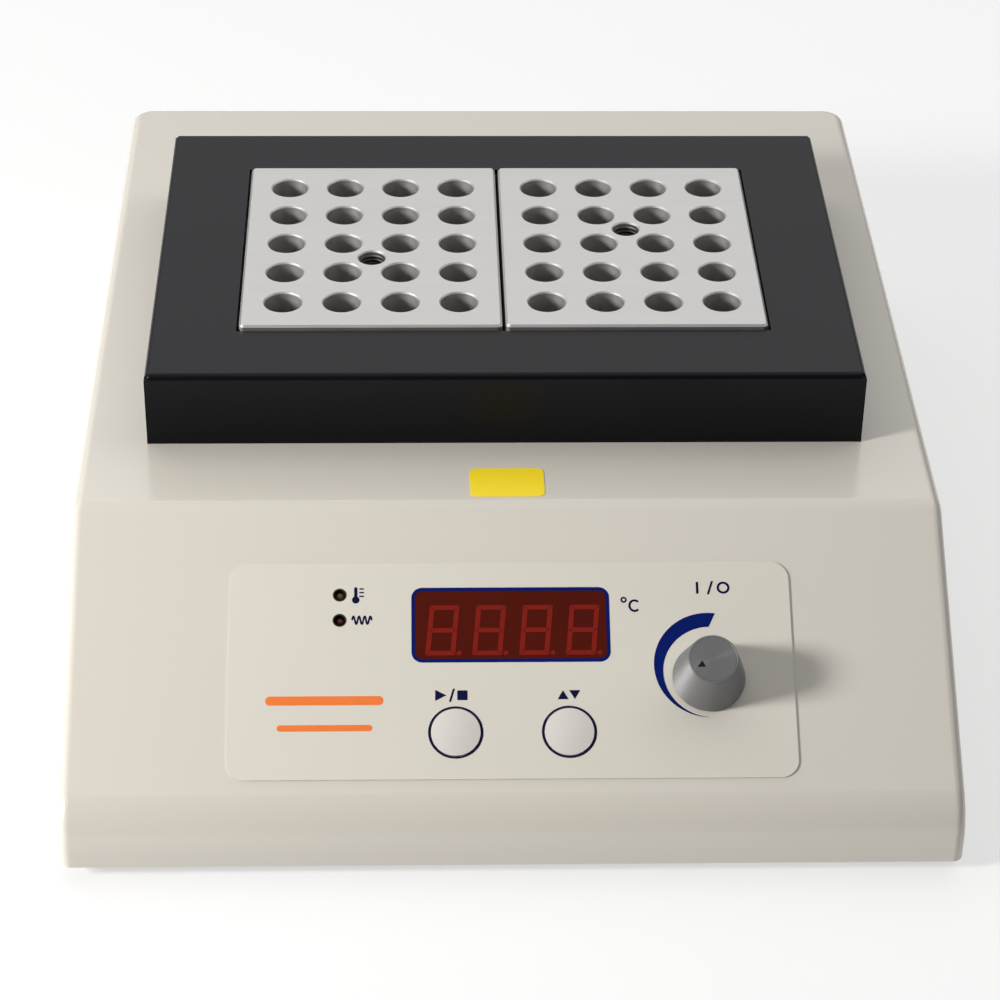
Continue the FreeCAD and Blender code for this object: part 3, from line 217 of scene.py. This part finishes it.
finishes = {
    # Casing and panel
    "housing": finish("housing_paint", (0.595, 0.562, 0.502), 0.20, mottle=(9.0, 0.012),
                      grain=(900.0, 0.0012), vary=0.03, wear_and_sheen=(1.2, 1.06, 0.5)),
    "surround": finish("black_powder_coat", (0.0017, 0.0017, 0.0030), 0.36, mottle=(30.0, 0.10),
                       grain=(1800.0, 0.004), vary=0.05, wear_and_sheen=(0.5, 2.0, 0.4),
                       sockets={"IOR": 1.295, "Specular Tint": COOL}),
    "panel": finish("panel_film", (0.625, 0.594, 0.526), 0.36, mottle=(60.0, 0.008),
                    grain=(2600.0, 0.002), vary=0.05),
    "button": finish("button_cap", (0.60, 0.575, 0.54), 0.36, mottle=(150.0, 0.012),
                     grain=(2200.0, 0.003), vary=0.05, wear_and_sheen=(0.4, 1.06, 0.4)),
    "knob": turned("knob_grey", (0.235, 0.235, 0.238), 0.62, metallic=0.65, spread=0.80,
                   centre=KNOB_AT - OUT * KNOB_FAR),
    "cap": turned("spun_cap", (0.165, 0.165, 0.168), 0.24, metallic=0.55, spread=0.92, centre=KNOB_AT),
    "pointer": finish("pointer_dark", (0.012, 0.012, 0.013), 0.50, mottle=(900.0, 0.15),
                      grain=(2600.0, 0.004), sockets=MATT),
    # Display, lights and print
    "filter": finish("red_filter", (0.070, 0.0060, 0.0025), 0.40, mottle=(80.0, 0.08),
                     grain=(900.0, 0.0006), vary=0.04, sockets=MATT),
    "module": finish("module_face", (0.075, 0.006, 0.003), 0.55, mottle=(400.0, 0.15),
                     grain=(2600.0, 0.004), sockets=MATT),
    "segment": finish("segment_red", (0.19, 0.012, 0.007), 0.55, mottle=(900.0, 0.12),
                      grain=(2600.0, 0.004), sockets=MATT),
    "amber": finish("lens_amber", (0.075, 0.045, 0.006), 0.14, mottle=(600.0, 0.15),
                    grain=(2000.0, 0.002), vary=0.05),
    "red": finish("lens_red", (0.042, 0.006, 0.007), 0.14, mottle=(600.0, 0.15),
                  grain=(2000.0, 0.002), vary=0.05),
    "blue_ink": ink("ink_blue", (0.0010, 0.0090, 0.115), mottle=(300.0, 0.10)),
    "navy_ink": ink("ink_navy", (0.0045, 0.0055, 0.040), mottle=(500.0, 0.12)),
    "orange_ink": ink("ink_orange", (0.78, 0.19, 0.045), mottle=(220.0, 0.08)),
    "yellow_film": finish("film_yellow", (0.90, 0.68, 0.018), 0.38, mottle=(120.0, 0.05),
                          grain=(2000.0, 0.004)),
    # Metal
    # The lighter edges and well rims of the blocks are a painted highlight along the rims
    "block": finish("milled_aluminium", (0.585, 0.575, 0.563), 0.52, mottle=(120.0, 0.03),
                    grain=(700.0, 0.002), stretch=(0.12, 1.0, 1.0), wear_and_sheen=(0.4, 1.35, 0.7), sockets=METAL),
    # Near-black flanks of the lifting holes' threads: painted shade between the ridges
    "thread": finish("thread_painted_shade", (0.06, 0.06, 0.058), 0.46, mottle=(300.0, 0.10),
                     grain=(1500.0, 0.003), sockets=METAL),
    "plate": finish("plate_aluminium", (0.66, 0.66, 0.66), 0.42, mottle=(90.0, 0.06),
                    grain=(900.0, 0.003), vary=0.08, sockets=METAL),
    "sheet_steel": finish("zinc_sheet", (0.60, 0.60, 0.62), 0.38, mottle=(55.0, 0.10),
                          grain=(1400.0, 0.003), vary=0.10, sockets=METAL),
    "screw": finish("screw_steel", (0.56, 0.56, 0.57), 0.30, mottle=(700.0, 0.10),
                    grain=(3000.0, 0.002), vary=0.08, wear_and_sheen=(0.2, 1.3, 0.6), sockets=METAL),
    "core": finish("core_steel", (0.15, 0.145, 0.14), 0.50, mottle=(150.0, 0.15),
                   grain=(900.0, 0.02), vary=0.10, stretch=(1.0, 1.0, 6.0), sockets=METAL),
    "anodised": finish("black_anodised", (0.045, 0.045, 0.05), 0.42, mottle=(200.0, 0.15),
                       grain=(1500.0, 0.006), vary=0.08, sockets=METAL),
    "contact": finish("contact_metal", (0.72, 0.66, 0.50), 0.28, mottle=(500.0, 0.08),
                      grain=(2500.0, 0.002), vary=0.08, sockets=METAL),
    # Rubber, wool, plastic and glass
    "rubber": finish("foot_rubber", (0.028, 0.028, 0.029), 0.72, mottle=(250.0, 0.20),
                     grain=(1600.0, 0.02), vary=0.10),
    "silicone": finish("mat_silicone", (0.45, 0.10, 0.05), 0.55, mottle=(80.0, 0.10),
                       grain=(1500.0, 0.02), vary=0.10),
    "wool": finish("insulation_wool", (0.78, 0.75, 0.66), 0.95, mottle=(160.0, 0.12),
                   grain=(900.0, 0.20), vary=0.04),
    "lead": finish("lead_sleeve", (0.70, 0.69, 0.65), 0.55, mottle=(300.0, 0.05), grain=(2600.0, 0.01)),
    "board": finish("board_resist", (0.030, 0.20, 0.075), 0.35, mottle=(250.0, 0.15),
                    grain=(2200.0, 0.004), vary=0.08),
    "ribbon": finish("ribbon_grey", (0.42, 0.42, 0.44), 0.45, mottle=(200.0, 0.06),
                     grain=(1800.0, 0.01), stretch=(20.0, 1.0, 1.0)),
    "black": finish("black_plastic", (0.022, 0.022, 0.024), 0.42, mottle=(200.0, 0.15),
                    grain=(2200.0, 0.008), vary=0.08, wear_and_sheen=(0.3, 2.0, 0.4)),
    "capacitor": finish("capacitor_case", (0.62, 0.42, 0.06), 0.30, mottle=(250.0, 0.05),
                        grain=(2000.0, 0.003)),
    "terminal": finish("terminal_green", (0.03, 0.26, 0.11), 0.42, mottle=(200.0, 0.08),
                       grain=(2000.0, 0.005), vary=0.08),
    "fuse": finish("fuse_glass", (0.75, 0.78, 0.78), 0.10, mottle=(300.0, 0.04),
                   grain=(1500.0, 0.001), vary=0.04, sockets={"Alpha": 0.45}),
}

node_finish = {
    "housing_shell": "housing", "base_plate": "sheet_steel", "block_surround": "surround",
    "block_left": "block", "block_right": "block", "heating_plate": "plate", "well_liner": "sheet_steel",
    "heater_mat_left": "silicone", "heater_mat_right": "silicone", "insulation_base": "wool",
    "insulation_collar": "wool", "heater_tray": "sheet_steel", "tray_pillars": "sheet_steel",
    "temperature_probe": "screw", "thermal_cutout": "black", "heater_leads": "lead",
    "control_panel": "panel", "display_window": "filter", "display_module": "module",
    "display_board": "board", "board_standoffs": "black", "hot_light": "amber", "heat_light": "red",
    "ribbon_cable": "ribbon", "ribbon_headers": "black", "control_knob": "knob", "knob_cap": "cap",
    "rotary_shaft": "screw", "rotary_control": "sheet_steel", "rotary_washer": "screw",
    "rotary_nut": "contact", "power_board": "board", "power_standoffs": "contact",
    "transformer": "core", "triac_heatsink": "anodised", "triac": "black",
    "mains_capacitor": "capacitor", "terminal_block": "terminal", "mains_inlet": "black",
    "inlet_pins": "contact", "fuse_drawer": "black", "fuses": "fuse",
}
for name in nodes:
    if name.startswith("foot_") and name != "foot_screws":
        node_finish[name] = "rubber"
    elif name.endswith("_screws"):
        node_finish[name] = "screw"
    elif name.endswith("_button"):
        node_finish[name] = "button"
    elif name.endswith(("_switch", "_plunger")):
        node_finish[name] = "black"
for name, shown in nodes.items():
    shown.data.materials.clear()
    shown.data.materials.append(finishes[node_finish[name]])


# Outlines, as lists of points in millimetres

RIGHTWARD = (1, 0)
UPWARD = (0, -1)
DOWNWARD = (0, 1)
SLASH_W = 0.6


def arc(u, v, r, start, end, steps=ROUND_STEPS, tall=1.0):
    """Points on part of a circle, with angles in degrees and the height times tall."""
    turns = [math.radians(start + (end - start) * i / steps) for i in range(steps + 1)]
    return [(u + r * math.cos(t), v + tall * r * math.sin(t)) for t in turns]


def circle(u, v, r, steps=ROUND_STEPS):
    """Points all around a circle."""
    return arc(u, v, r, 0, 360, steps)[:-1]


def ring(u, v, r, bore):
    """The two outlines of a ring."""
    return circle(u, v, r), circle(u, v, bore)


def rounded(u, v, width, length, r):
    """The outline of a rectangle with round corners."""
    a = width / 2 - r
    b = length / 2 - r
    points = []
    for side_u, side_v, start in ((1, 1, 0), (-1, 1, 90), (-1, -1, 180), (1, -1, 270)):
        points += arc(u + side_u * a, v + side_v * b, r, start, start + 90, CORNER_STEPS)
    return points


def triangle(u, v, way, length, width):
    """The outline of a triangle around a middle, with its tip along way."""
    along = Vector(way) * (length / 2)
    aside = Vector((-way[1], way[0])) * (width / 2)
    middle = Vector((u, v))
    return [tuple(middle - along - aside), tuple(middle + along), tuple(middle - along + aside)]


def slash(u, v, length, lean):
    """The outline of a stroke between two signs, with its top leant to the right."""
    top_u = u + lean / 2
    top_v = v - length / 2
    foot_u = u - lean / 2
    foot_v = v + length / 2
    half = SLASH_W / 2
    return [(top_u - half, top_v), (top_u + half, top_v), (foot_u + half, foot_v), (foot_u - half, foot_v)]


def ribbon(points, width):
    """The two sides of a stroke of even width along points."""
    sides = ([], [])
    for i, here in enumerate(points):
        before = Vector(points[max(i - 1, 0)])
        after = Vector(points[min(i + 1, len(points) - 1)])
        along = (after - before).normalized()
        across = Vector((-along.y, along.x)) * (width / 2)
        for side, sign in zip(sides, (1, -1)):
            side.append(tuple(Vector(here) + across * sign))
    return sides


# Solid pieces

def add_plate(mesh, outline, place, low, high):
    """Adds a closed flat plate inside one outline."""
    rings = [[mesh.verts.new(place(a, b, h)) for a, b in outline] for h in (low, high)]
    count = len(outline)
    mesh.faces.new(rings[0])
    mesh.faces.new(rings[1])
    for i in range(count):
        j = (i + 1) % count
        mesh.faces.new((rings[0][i], rings[0][j], rings[1][j], rings[1][i]))


def add_band(mesh, outer, inner, place, low, high, closed=True):
    """Adds a closed flat band between two outlines with the same number of points."""
    sides = [
        [mesh.verts.new(place(a, b, h)) for a, b in line]
        for line, h in ((outer, low), (outer, high), (inner, high), (inner, low))
    ]
    count = len(outer)
    for k, one in enumerate(sides):
        two = sides[(k + 1) % len(sides)]
        for i in range(count if closed else count - 1):
            j = (i + 1) % count
            mesh.faces.new((one[i], one[j], two[j], two[i]))
    if not closed:
        for i in (0, count - 1):
            mesh.faces.new([side[i] for side in sides])


def in_scene(name, data):
    """A new object in the scene."""
    made = bpy.data.objects.new(name, data)
    bpy.context.scene.collection.objects.link(made)
    return made


def mesh_object(name, mesh, materials):
    """Turns a finished mesh into an object."""
    data = bpy.data.meshes.new(name)
    mesh.to_mesh(data)
    mesh.free()
    for material in materials:
        data.materials.append(material)
    return in_scene(name, data)


def piece(name, mesh, body, slot, *looks):
    """Turns a finished mesh into a piece that moves with a body, with one finish or more."""
    bmesh.ops.recalc_face_normals(mesh, faces=mesh.faces)
    made = mesh_object(name, mesh, [finishes[look] for look in looks])
    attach(made, body)


# Print on the panel

SUNK = 0.05  # how far print and labels reach into what carries them
INK_LOW = PANEL_TOP - SUNK
INK_TOP = PANEL_TOP + 0.04


def printed(name, look, plates=(), bands=(), open_bands=()):
    """Ink on the panel: plates inside outlines, and bands between pairs of outlines."""
    mesh = bmesh.new()
    for outline in plates:
        add_plate(mesh, outline, on_slope, INK_LOW, INK_TOP)
    for outer, inner in bands:
        add_band(mesh, outer, inner, on_slope, INK_LOW, INK_TOP)
    for outer, inner in open_bands:
        add_band(mesh, outer, inner, on_slope, INK_LOW, INK_TOP, closed=False)
    piece(name, mesh, "base", "panel_print", look)


# Border of the display, by width, length and corner radius
DISPLAY_V = 36.5
BORDER_OUTER = (54.6, 22.1, 3.0)
BORDER_INNER = (52.7, 20.1, 2.05)
printed("print_display_border", "blue_ink",
        bands=[(rounded(0, DISPLAY_V, *BORDER_OUTER), rounded(0, DISPLAY_V, *BORDER_INNER))])

# Rings around the buttons
BUTTON_U = 15.4
BUTTON_V = 67.8
RING_R = 7.5
RING_BORE = 6.98
printed("print_button_rings", "navy_ink",
        bands=[ring(u, BUTTON_V, RING_R, RING_BORE) for u in (-BUTTON_U, BUTTON_U)])

# Crescent around the knob: the middle, radius and ends in degrees of both its edges
CRESCENT_OUTER = (54.3, 48.6, 15.3, -82.1, -266.8)
CRESCENT_INNER = (54.7, 50.65, 13.2, -90.9, -264.6)
printed("print_dial_arc", "blue_ink", open_bands=[(arc(*CRESCENT_OUTER), arc(*CRESCENT_INNER))])

# Degree sign and C
DEGREE_AT = (31.3, 29.3)
DEGREE_R = 0.88
DEGREE_BORE = 0.42
C_AT = (34.25, 31.05)
C_ENDS = (45, 315)
C_R = 1.7
C_TALL = 1.1
C_BORE = 1.1
C_BORE_TALL = 1.14
printed("print_celsius", "navy_ink",
        bands=[ring(*DEGREE_AT, DEGREE_R, DEGREE_BORE)],
        open_bands=[(arc(*C_AT, C_R, *C_ENDS, tall=C_TALL), arc(*C_AT, C_BORE, *C_ENDS, tall=C_BORE_TALL))])

# Start and stop: a triangle, a stroke and a square
KEY_SIGNS_V = 57.1
START_U = -19.4
START_LENGTH = 3.0
START_WIDTH = 3.2
START_SLASH_U = -16.35
START_SLASH_LENGTH = 3.8
START_SLASH_LEAN = 1.1
STOP_U = -13.5
STOP_SIDE = 2.8
STOP_CORNER = 0.2
printed("print_start_stop", "navy_ink",
        plates=[triangle(START_U, KEY_SIGNS_V, RIGHTWARD, START_LENGTH, START_WIDTH),
                slash(START_SLASH_U, KEY_SIGNS_V, START_SLASH_LENGTH, START_SLASH_LEAN),
                rounded(STOP_U, KEY_SIGNS_V, STOP_SIDE, STOP_SIDE, STOP_CORNER)])

# Set: up and down
SET_UP_U = 13.9
SET_DOWN_U = 17.1
SET_LENGTH = 2.6
SET_WIDTH = 3.0
printed("print_set", "navy_ink",
        plates=[triangle(SET_UP_U, KEY_SIGNS_V, UPWARD, SET_LENGTH, SET_WIDTH),
                triangle(SET_DOWN_U, KEY_SIGNS_V, DOWNWARD, SET_LENGTH, SET_WIDTH)])

# Mains on and off: a bar, a stroke and a ring
MAINS_V = 25.8
ON_U = 51.8
ON_WIDTH = 0.7
ON_LENGTH = 3.6
ON_CORNER = 0.3
MAINS_SLASH_U = 55.35
MAINS_SLASH_LENGTH = 4.0
MAINS_SLASH_LEAN = 1.3
OFF_U = 59.0
OFF_R = 1.8
OFF_BORE = 1.15
printed("print_on_off", "navy_ink",
        plates=[rounded(ON_U, MAINS_V, ON_WIDTH, ON_LENGTH, ON_CORNER),
                slash(MAINS_SLASH_U, MAINS_V, MAINS_SLASH_LENGTH, MAINS_SLASH_LEAN)],
        bands=[ring(OFF_U, MAINS_V, OFF_R, OFF_BORE)])

# Hot: a thermometer with three marks
STEM_U = -42.6
STEM_V = 26.9
STEM_WIDTH = 0.9
STEM_LENGTH = 3.4
STEM_CORNER = 0.42
BULB_V = 29.0
BULB_R = 1.05
BULB_STEPS = 24
MARK_U = -41.0
MARK_PLACES_V = (25.7, 26.8, 27.9)
MARK_WIDTH = 1.3
MARK_THICK = 0.42
MARK_CORNER = 0.15
printed("print_hot", "navy_ink",
        plates=[rounded(STEM_U, STEM_V, STEM_WIDTH, STEM_LENGTH, STEM_CORNER),
                circle(STEM_U, BULB_V, BULB_R, BULB_STEPS),
                *[rounded(MARK_U, v, MARK_WIDTH, MARK_THICK, MARK_CORNER) for v in MARK_PLACES_V]])

# Heat: a heating element
WAVE_U = -43.6
WAVE_V = 35.0
WAVE_LENGTH = 5.4
WAVE_HEIGHT = 1.15
WAVE_TURNS = 3.5
WAVE_STEPS = 84
WAVE_LINE = 0.5


def wave(share):
    """A point on the element's line, with share from 0 at its left end to 1 at its right end."""
    return WAVE_U + WAVE_LENGTH * share, WAVE_V - WAVE_HEIGHT * math.sin(2 * math.pi * WAVE_TURNS * share)


printed("print_heat", "navy_ink",
        open_bands=[ribbon([wave(i / WAVE_STEPS) for i in range(WAVE_STEPS + 1)], WAVE_LINE)])

# Plain colour bars: the middle, width, length and corner radius
UPPER_BAR = (-51.0, 58.5, 32.0, 2.6, 1.2)
LOWER_BAR = (-50.9, 66.4, 25.8, 1.8, 0.85)
printed("print_bars", "orange_ink", plates=[rounded(*UPPER_BAR), rounded(*LOWER_BAR)])


# Blank label on the deck

LABEL_X = -0.1
LABEL_Y = SLOPE_TOP.y / MM + 10.6  # back from the slope's top edge
LABEL_WIDTH = 21.0
LABEL_LENGTH = 14.0
LABEL_CORNER = 2.0
LABEL_TOP = 0.12
label = bmesh.new()
add_plate(label, rounded(LABEL_X, LABEL_Y, LABEL_WIDTH, LABEL_LENGTH, LABEL_CORNER),
          on_deck, -SUNK, LABEL_TOP)
piece("deck_label", label, "base", "light_amber", "yellow_film")


# Unlit figures of the display, on the face of the red filter

DIGITS = 4
DIGIT_PITCH = 12.86
DIGIT_H = 14.75
DIGIT_W = 8.2
FIGURES_U = 0.5
FIGURES_V = DISPLAY_V + 1.6
STROKE = 1.35
STROKE_GAP = 0.1
POINT_OUT = 5.15
POINT_STEPS = 16
LEAN = math.tan(math.radians(5.4))


def digit(mesh, centre):
    """One figure of seven segments that meet at mitred corners, with its point."""
    wide = DIGIT_W / 2
    tall = DIGIT_H / 2
    half = STROKE / 2
    bare = wide - STROKE
    level = [(STROKE_GAP - wide, tall), (wide - STROKE_GAP, tall),
             (bare - STROKE_GAP, tall - STROKE), (STROKE_GAP - bare, tall - STROKE)]
    upright = [(wide, tall - STROKE_GAP), (bare, tall - STROKE - STROKE_GAP), (bare, half + STROKE_GAP),
               (wide - half, STROKE_GAP), (wide, STROKE_GAP)]
    end = [(bare - STROKE_GAP, half), (wide - half - STROKE_GAP, 0.0), (bare - STROKE_GAP, -half)]
    outlines = [end + [(-a, -b) for a, b in end], circle(POINT_OUT, half - tall, half, POINT_STEPS)]
    for up in (-1, 1):
        outlines.append([(a, up * b) for a, b in level])
        outlines += [[(side * a, up * b) for a, b in upright] for side in (-1, 1)]
    for outline in outlines:
        leant = [(centre + a + b * LEAN, FIGURES_V - b) for a, b in outline]
        add_plate(mesh, leant, on_slope, INK_LOW, INK_TOP)


figures = bmesh.new()
for index in range(DIGITS):
    digit(figures, FIGURES_U + DIGIT_PITCH * (index - (DIGITS - 1) / 2))
piece("display_figures", figures, "base", "display_red", "segment")


# Black rings of painted shade around the two lights, in the gap between the light and its hole, where the hole's
# wall is in shade

SHADE_RING_R = 1.97
SHADE_RING_BORE = 1.62
SHADE_RING_LOW = PANEL_TOP - 2.0
SHADE_RING_TOP = PANEL_TOP - 0.06
painted_shade_rings = bmesh.new()
for name in ("hot_light", "heat_light"):
    outer, bore = ring(*middle_on_slope(name), SHADE_RING_R, SHADE_RING_BORE)
    add_band(painted_shade_rings, outer, bore, on_slope, SHADE_RING_LOW, SHADE_RING_TOP)
piece("light_painted_shade_rings", painted_shade_rings, "base", "black_plastic", "black")


# Pointer on the knob's cap: a small triangle towards the edge

POINTER_TURN = math.radians(63)
POINTER_FOOT = 2.9
POINTER_TIP = 5.0
POINTER_HALF = 1.0
POINTER_TOP = 0.05


def on_cap(a, b, h):
    """A point on the cap: a to the right of the pointer's line and b out along it."""
    out = DOWN * math.cos(POINTER_TURN) - ACROSS * math.sin(POINTER_TURN)
    right = out.cross(OUT)
    return on_slope(KNOB_U, KNOB_V, CAP_TOP + h) + (out * b + right * a) * MM


pointer = bmesh.new()
add_plate(pointer, [(-POINTER_HALF, POINTER_FOOT), (POINTER_HALF, POINTER_FOOT), (0.0, POINTER_TIP)],
          on_cap, -SUNK, POINTER_TOP)
piece("knob_pointer", pointer, "knob", "knob", "pointer")


# Threads in the blocks' lifting holes

THREAD_PITCH = 1.25
THREAD_DEEP = 0.6
THREAD_SUNK = 0.02
THREAD_FOOT_HALF = 0.56
THREAD_CREST_HALF = 0.22
THREAD_STEPS = 36
CREST = 1  # the profile's second side, the crest, painted bright with the block's finish as a painted highlight


def thread(name):
    """A ridge that winds down the wall of a lifting hole."""
    hole = mounts[name + "_lifting_hole"]
    wall = hole["dims"]["r_mm"]
    length = hole["dims"]["length_mm"]
    middle = Vector(hole["pos_m"])
    tip = wall - THREAD_DEEP
    foot = wall + THREAD_SUNK
    profile = [(foot, -THREAD_FOOT_HALF), (tip, -THREAD_CREST_HALF),
               (tip, THREAD_CREST_HALF), (foot, THREAD_FOOT_HALF)]
    turns = int(length / THREAD_PITCH) - 1
    mesh = bmesh.new()
    rings = []
    for i in range(turns * THREAD_STEPS + 1):
        turn = 2 * math.pi * i / THREAD_STEPS
        z = length / 2 - THREAD_PITCH * (i / THREAD_STEPS + 0.5)
        at = [Vector((r * math.cos(turn), r * math.sin(turn), z + dz)) for r, dz in profile]
        rings.append([mesh.verts.new(middle + a * MM) for a in at])
    for one, two in zip(rings, rings[1:]):
        for k in range(len(profile)):
            n = (k + 1) % len(profile)
            face = mesh.faces.new((one[k], one[n], two[n], two[k]))
            # Crests get the bright block finish as a painted highlight, the other sides the near-black thread
            # finish as painted shade
            face.material_index = int(k == CREST)
    mesh.faces.new(rings[0])
    mesh.faces.new(rings[-1])
    piece("lifting_thread_" + name, mesh, name + "_block", "block", "thread", "block")


for side in ("left", "right"):
    thread(side)


# Floor, light and camera, in metres, watts and degrees

FLOOR_HALF = 4.0
FLOOR_GREY = (0.40, 0.40, 0.40)
FLOOR_ROUGH = 0.8
FLOOR_GLOW = 0.52
MIDDLE = (0.0, 0.0, 0.05)
PLAIN_LIGHT = (1.0, 1.0, 1.0)
WARM_LIGHT = (1.0, 0.985, 0.96)
LIGHT_AROUND = 0.08
CAMERA_AT = (-0.0271, -0.7659, 0.5459)
CAMERA_YAW = 2.06
CAMERA_PITCH = 34.83
CAMERA_ROLL = 0.97
SENSOR_MM = 36.0
LENS_MM = 107.74


def floor():
    """A pale light table."""
    mesh = bmesh.new()
    bmesh.ops.create_grid(mesh, x_segments=1, y_segments=1, size=FLOOR_HALF)
    glow = {"Emission Color": WHITE, "Emission Strength": FLOOR_GLOW}
    sheet = finish("floor_sheet", FLOOR_GREY, FLOOR_ROUGH, mottle=(3.0, 0.005), grain=(200.0, 0.002),
                   sockets=glow)
    made = mesh_object("floor", mesh, [sheet])


def area_light(name, place, size, power, aim=MIDDLE, colour=PLAIN_LIGHT):
    """A rectangle of light that faces aim."""
    light = bpy.data.lights.new(name, "AREA")
    light.shape = "RECTANGLE"
    light.size, light.size_y = size
    light.energy = power
    light.color = colour
    made = in_scene(name, light)
    made.location = place
    made.rotation_euler = (Vector(aim) - Vector(place)).to_track_quat("-Z", "Y").to_euler()


def surroundings():
    """Even light from all around, and colours shown as they are."""
    world = bpy.data.worlds.new("studio")
    world.use_nodes = True
    background = world.node_tree.nodes["Background"]
    background.inputs["Color"].default_value = WHITE
    background.inputs["Strength"].default_value = LIGHT_AROUND
    bpy.context.scene.world = world
    bpy.context.scene.view_settings.view_transform = "Standard"


def camera():
    """The camera at the photograph's place, with its yaw, pitch and roll."""
    yaw, pitch, roll = (math.radians(a) for a in (CAMERA_YAW, CAMERA_PITCH, CAMERA_ROLL))
    ahead = Vector((math.sin(yaw) * math.cos(pitch), math.cos(yaw) * math.cos(pitch), -math.sin(pitch)))
    level = Vector((math.cos(yaw), -math.sin(yaw), 0.0))
    raised = level.cross(ahead)
    right = level * math.cos(roll) + raised * math.sin(roll)
    up = raised * math.cos(roll) - level * math.sin(roll)
    lens = bpy.data.cameras.new("camera")
    lens.sensor_width = SENSOR_MM
    lens.lens = LENS_MM
    made = in_scene("camera", lens)
    turn = Matrix((right, up, -ahead)).transposed()
    made.matrix_world = Matrix.Translation(CAMERA_AT) @ turn.to_4x4()
    bpy.context.scene.camera = made


floor()
area_light("key", place=(-1.008, -0.467, 0.495), size=(0.22, 0.22), power=17.4, aim=KNOB_AT,
           colour=WARM_LIGHT)
area_light("back", place=(0.0, 1.4, 0.85), size=(2.2, 1.2), power=5.4)
area_light("back_top", place=(0.0, 1.0, 1.4), size=(2.2, 1.4), power=8.0)
area_light("top", place=(0.0, -0.1, 1.5), size=(1.2, 1.2), power=3.0)
area_light("right", place=(0.9, 0.2, 1.0), size=(0.9, 0.9), power=3.4)
area_light("left", place=(-0.9, 0.5, 1.0), size=(0.9, 0.9), power=2.2)
surroundings()
camera()
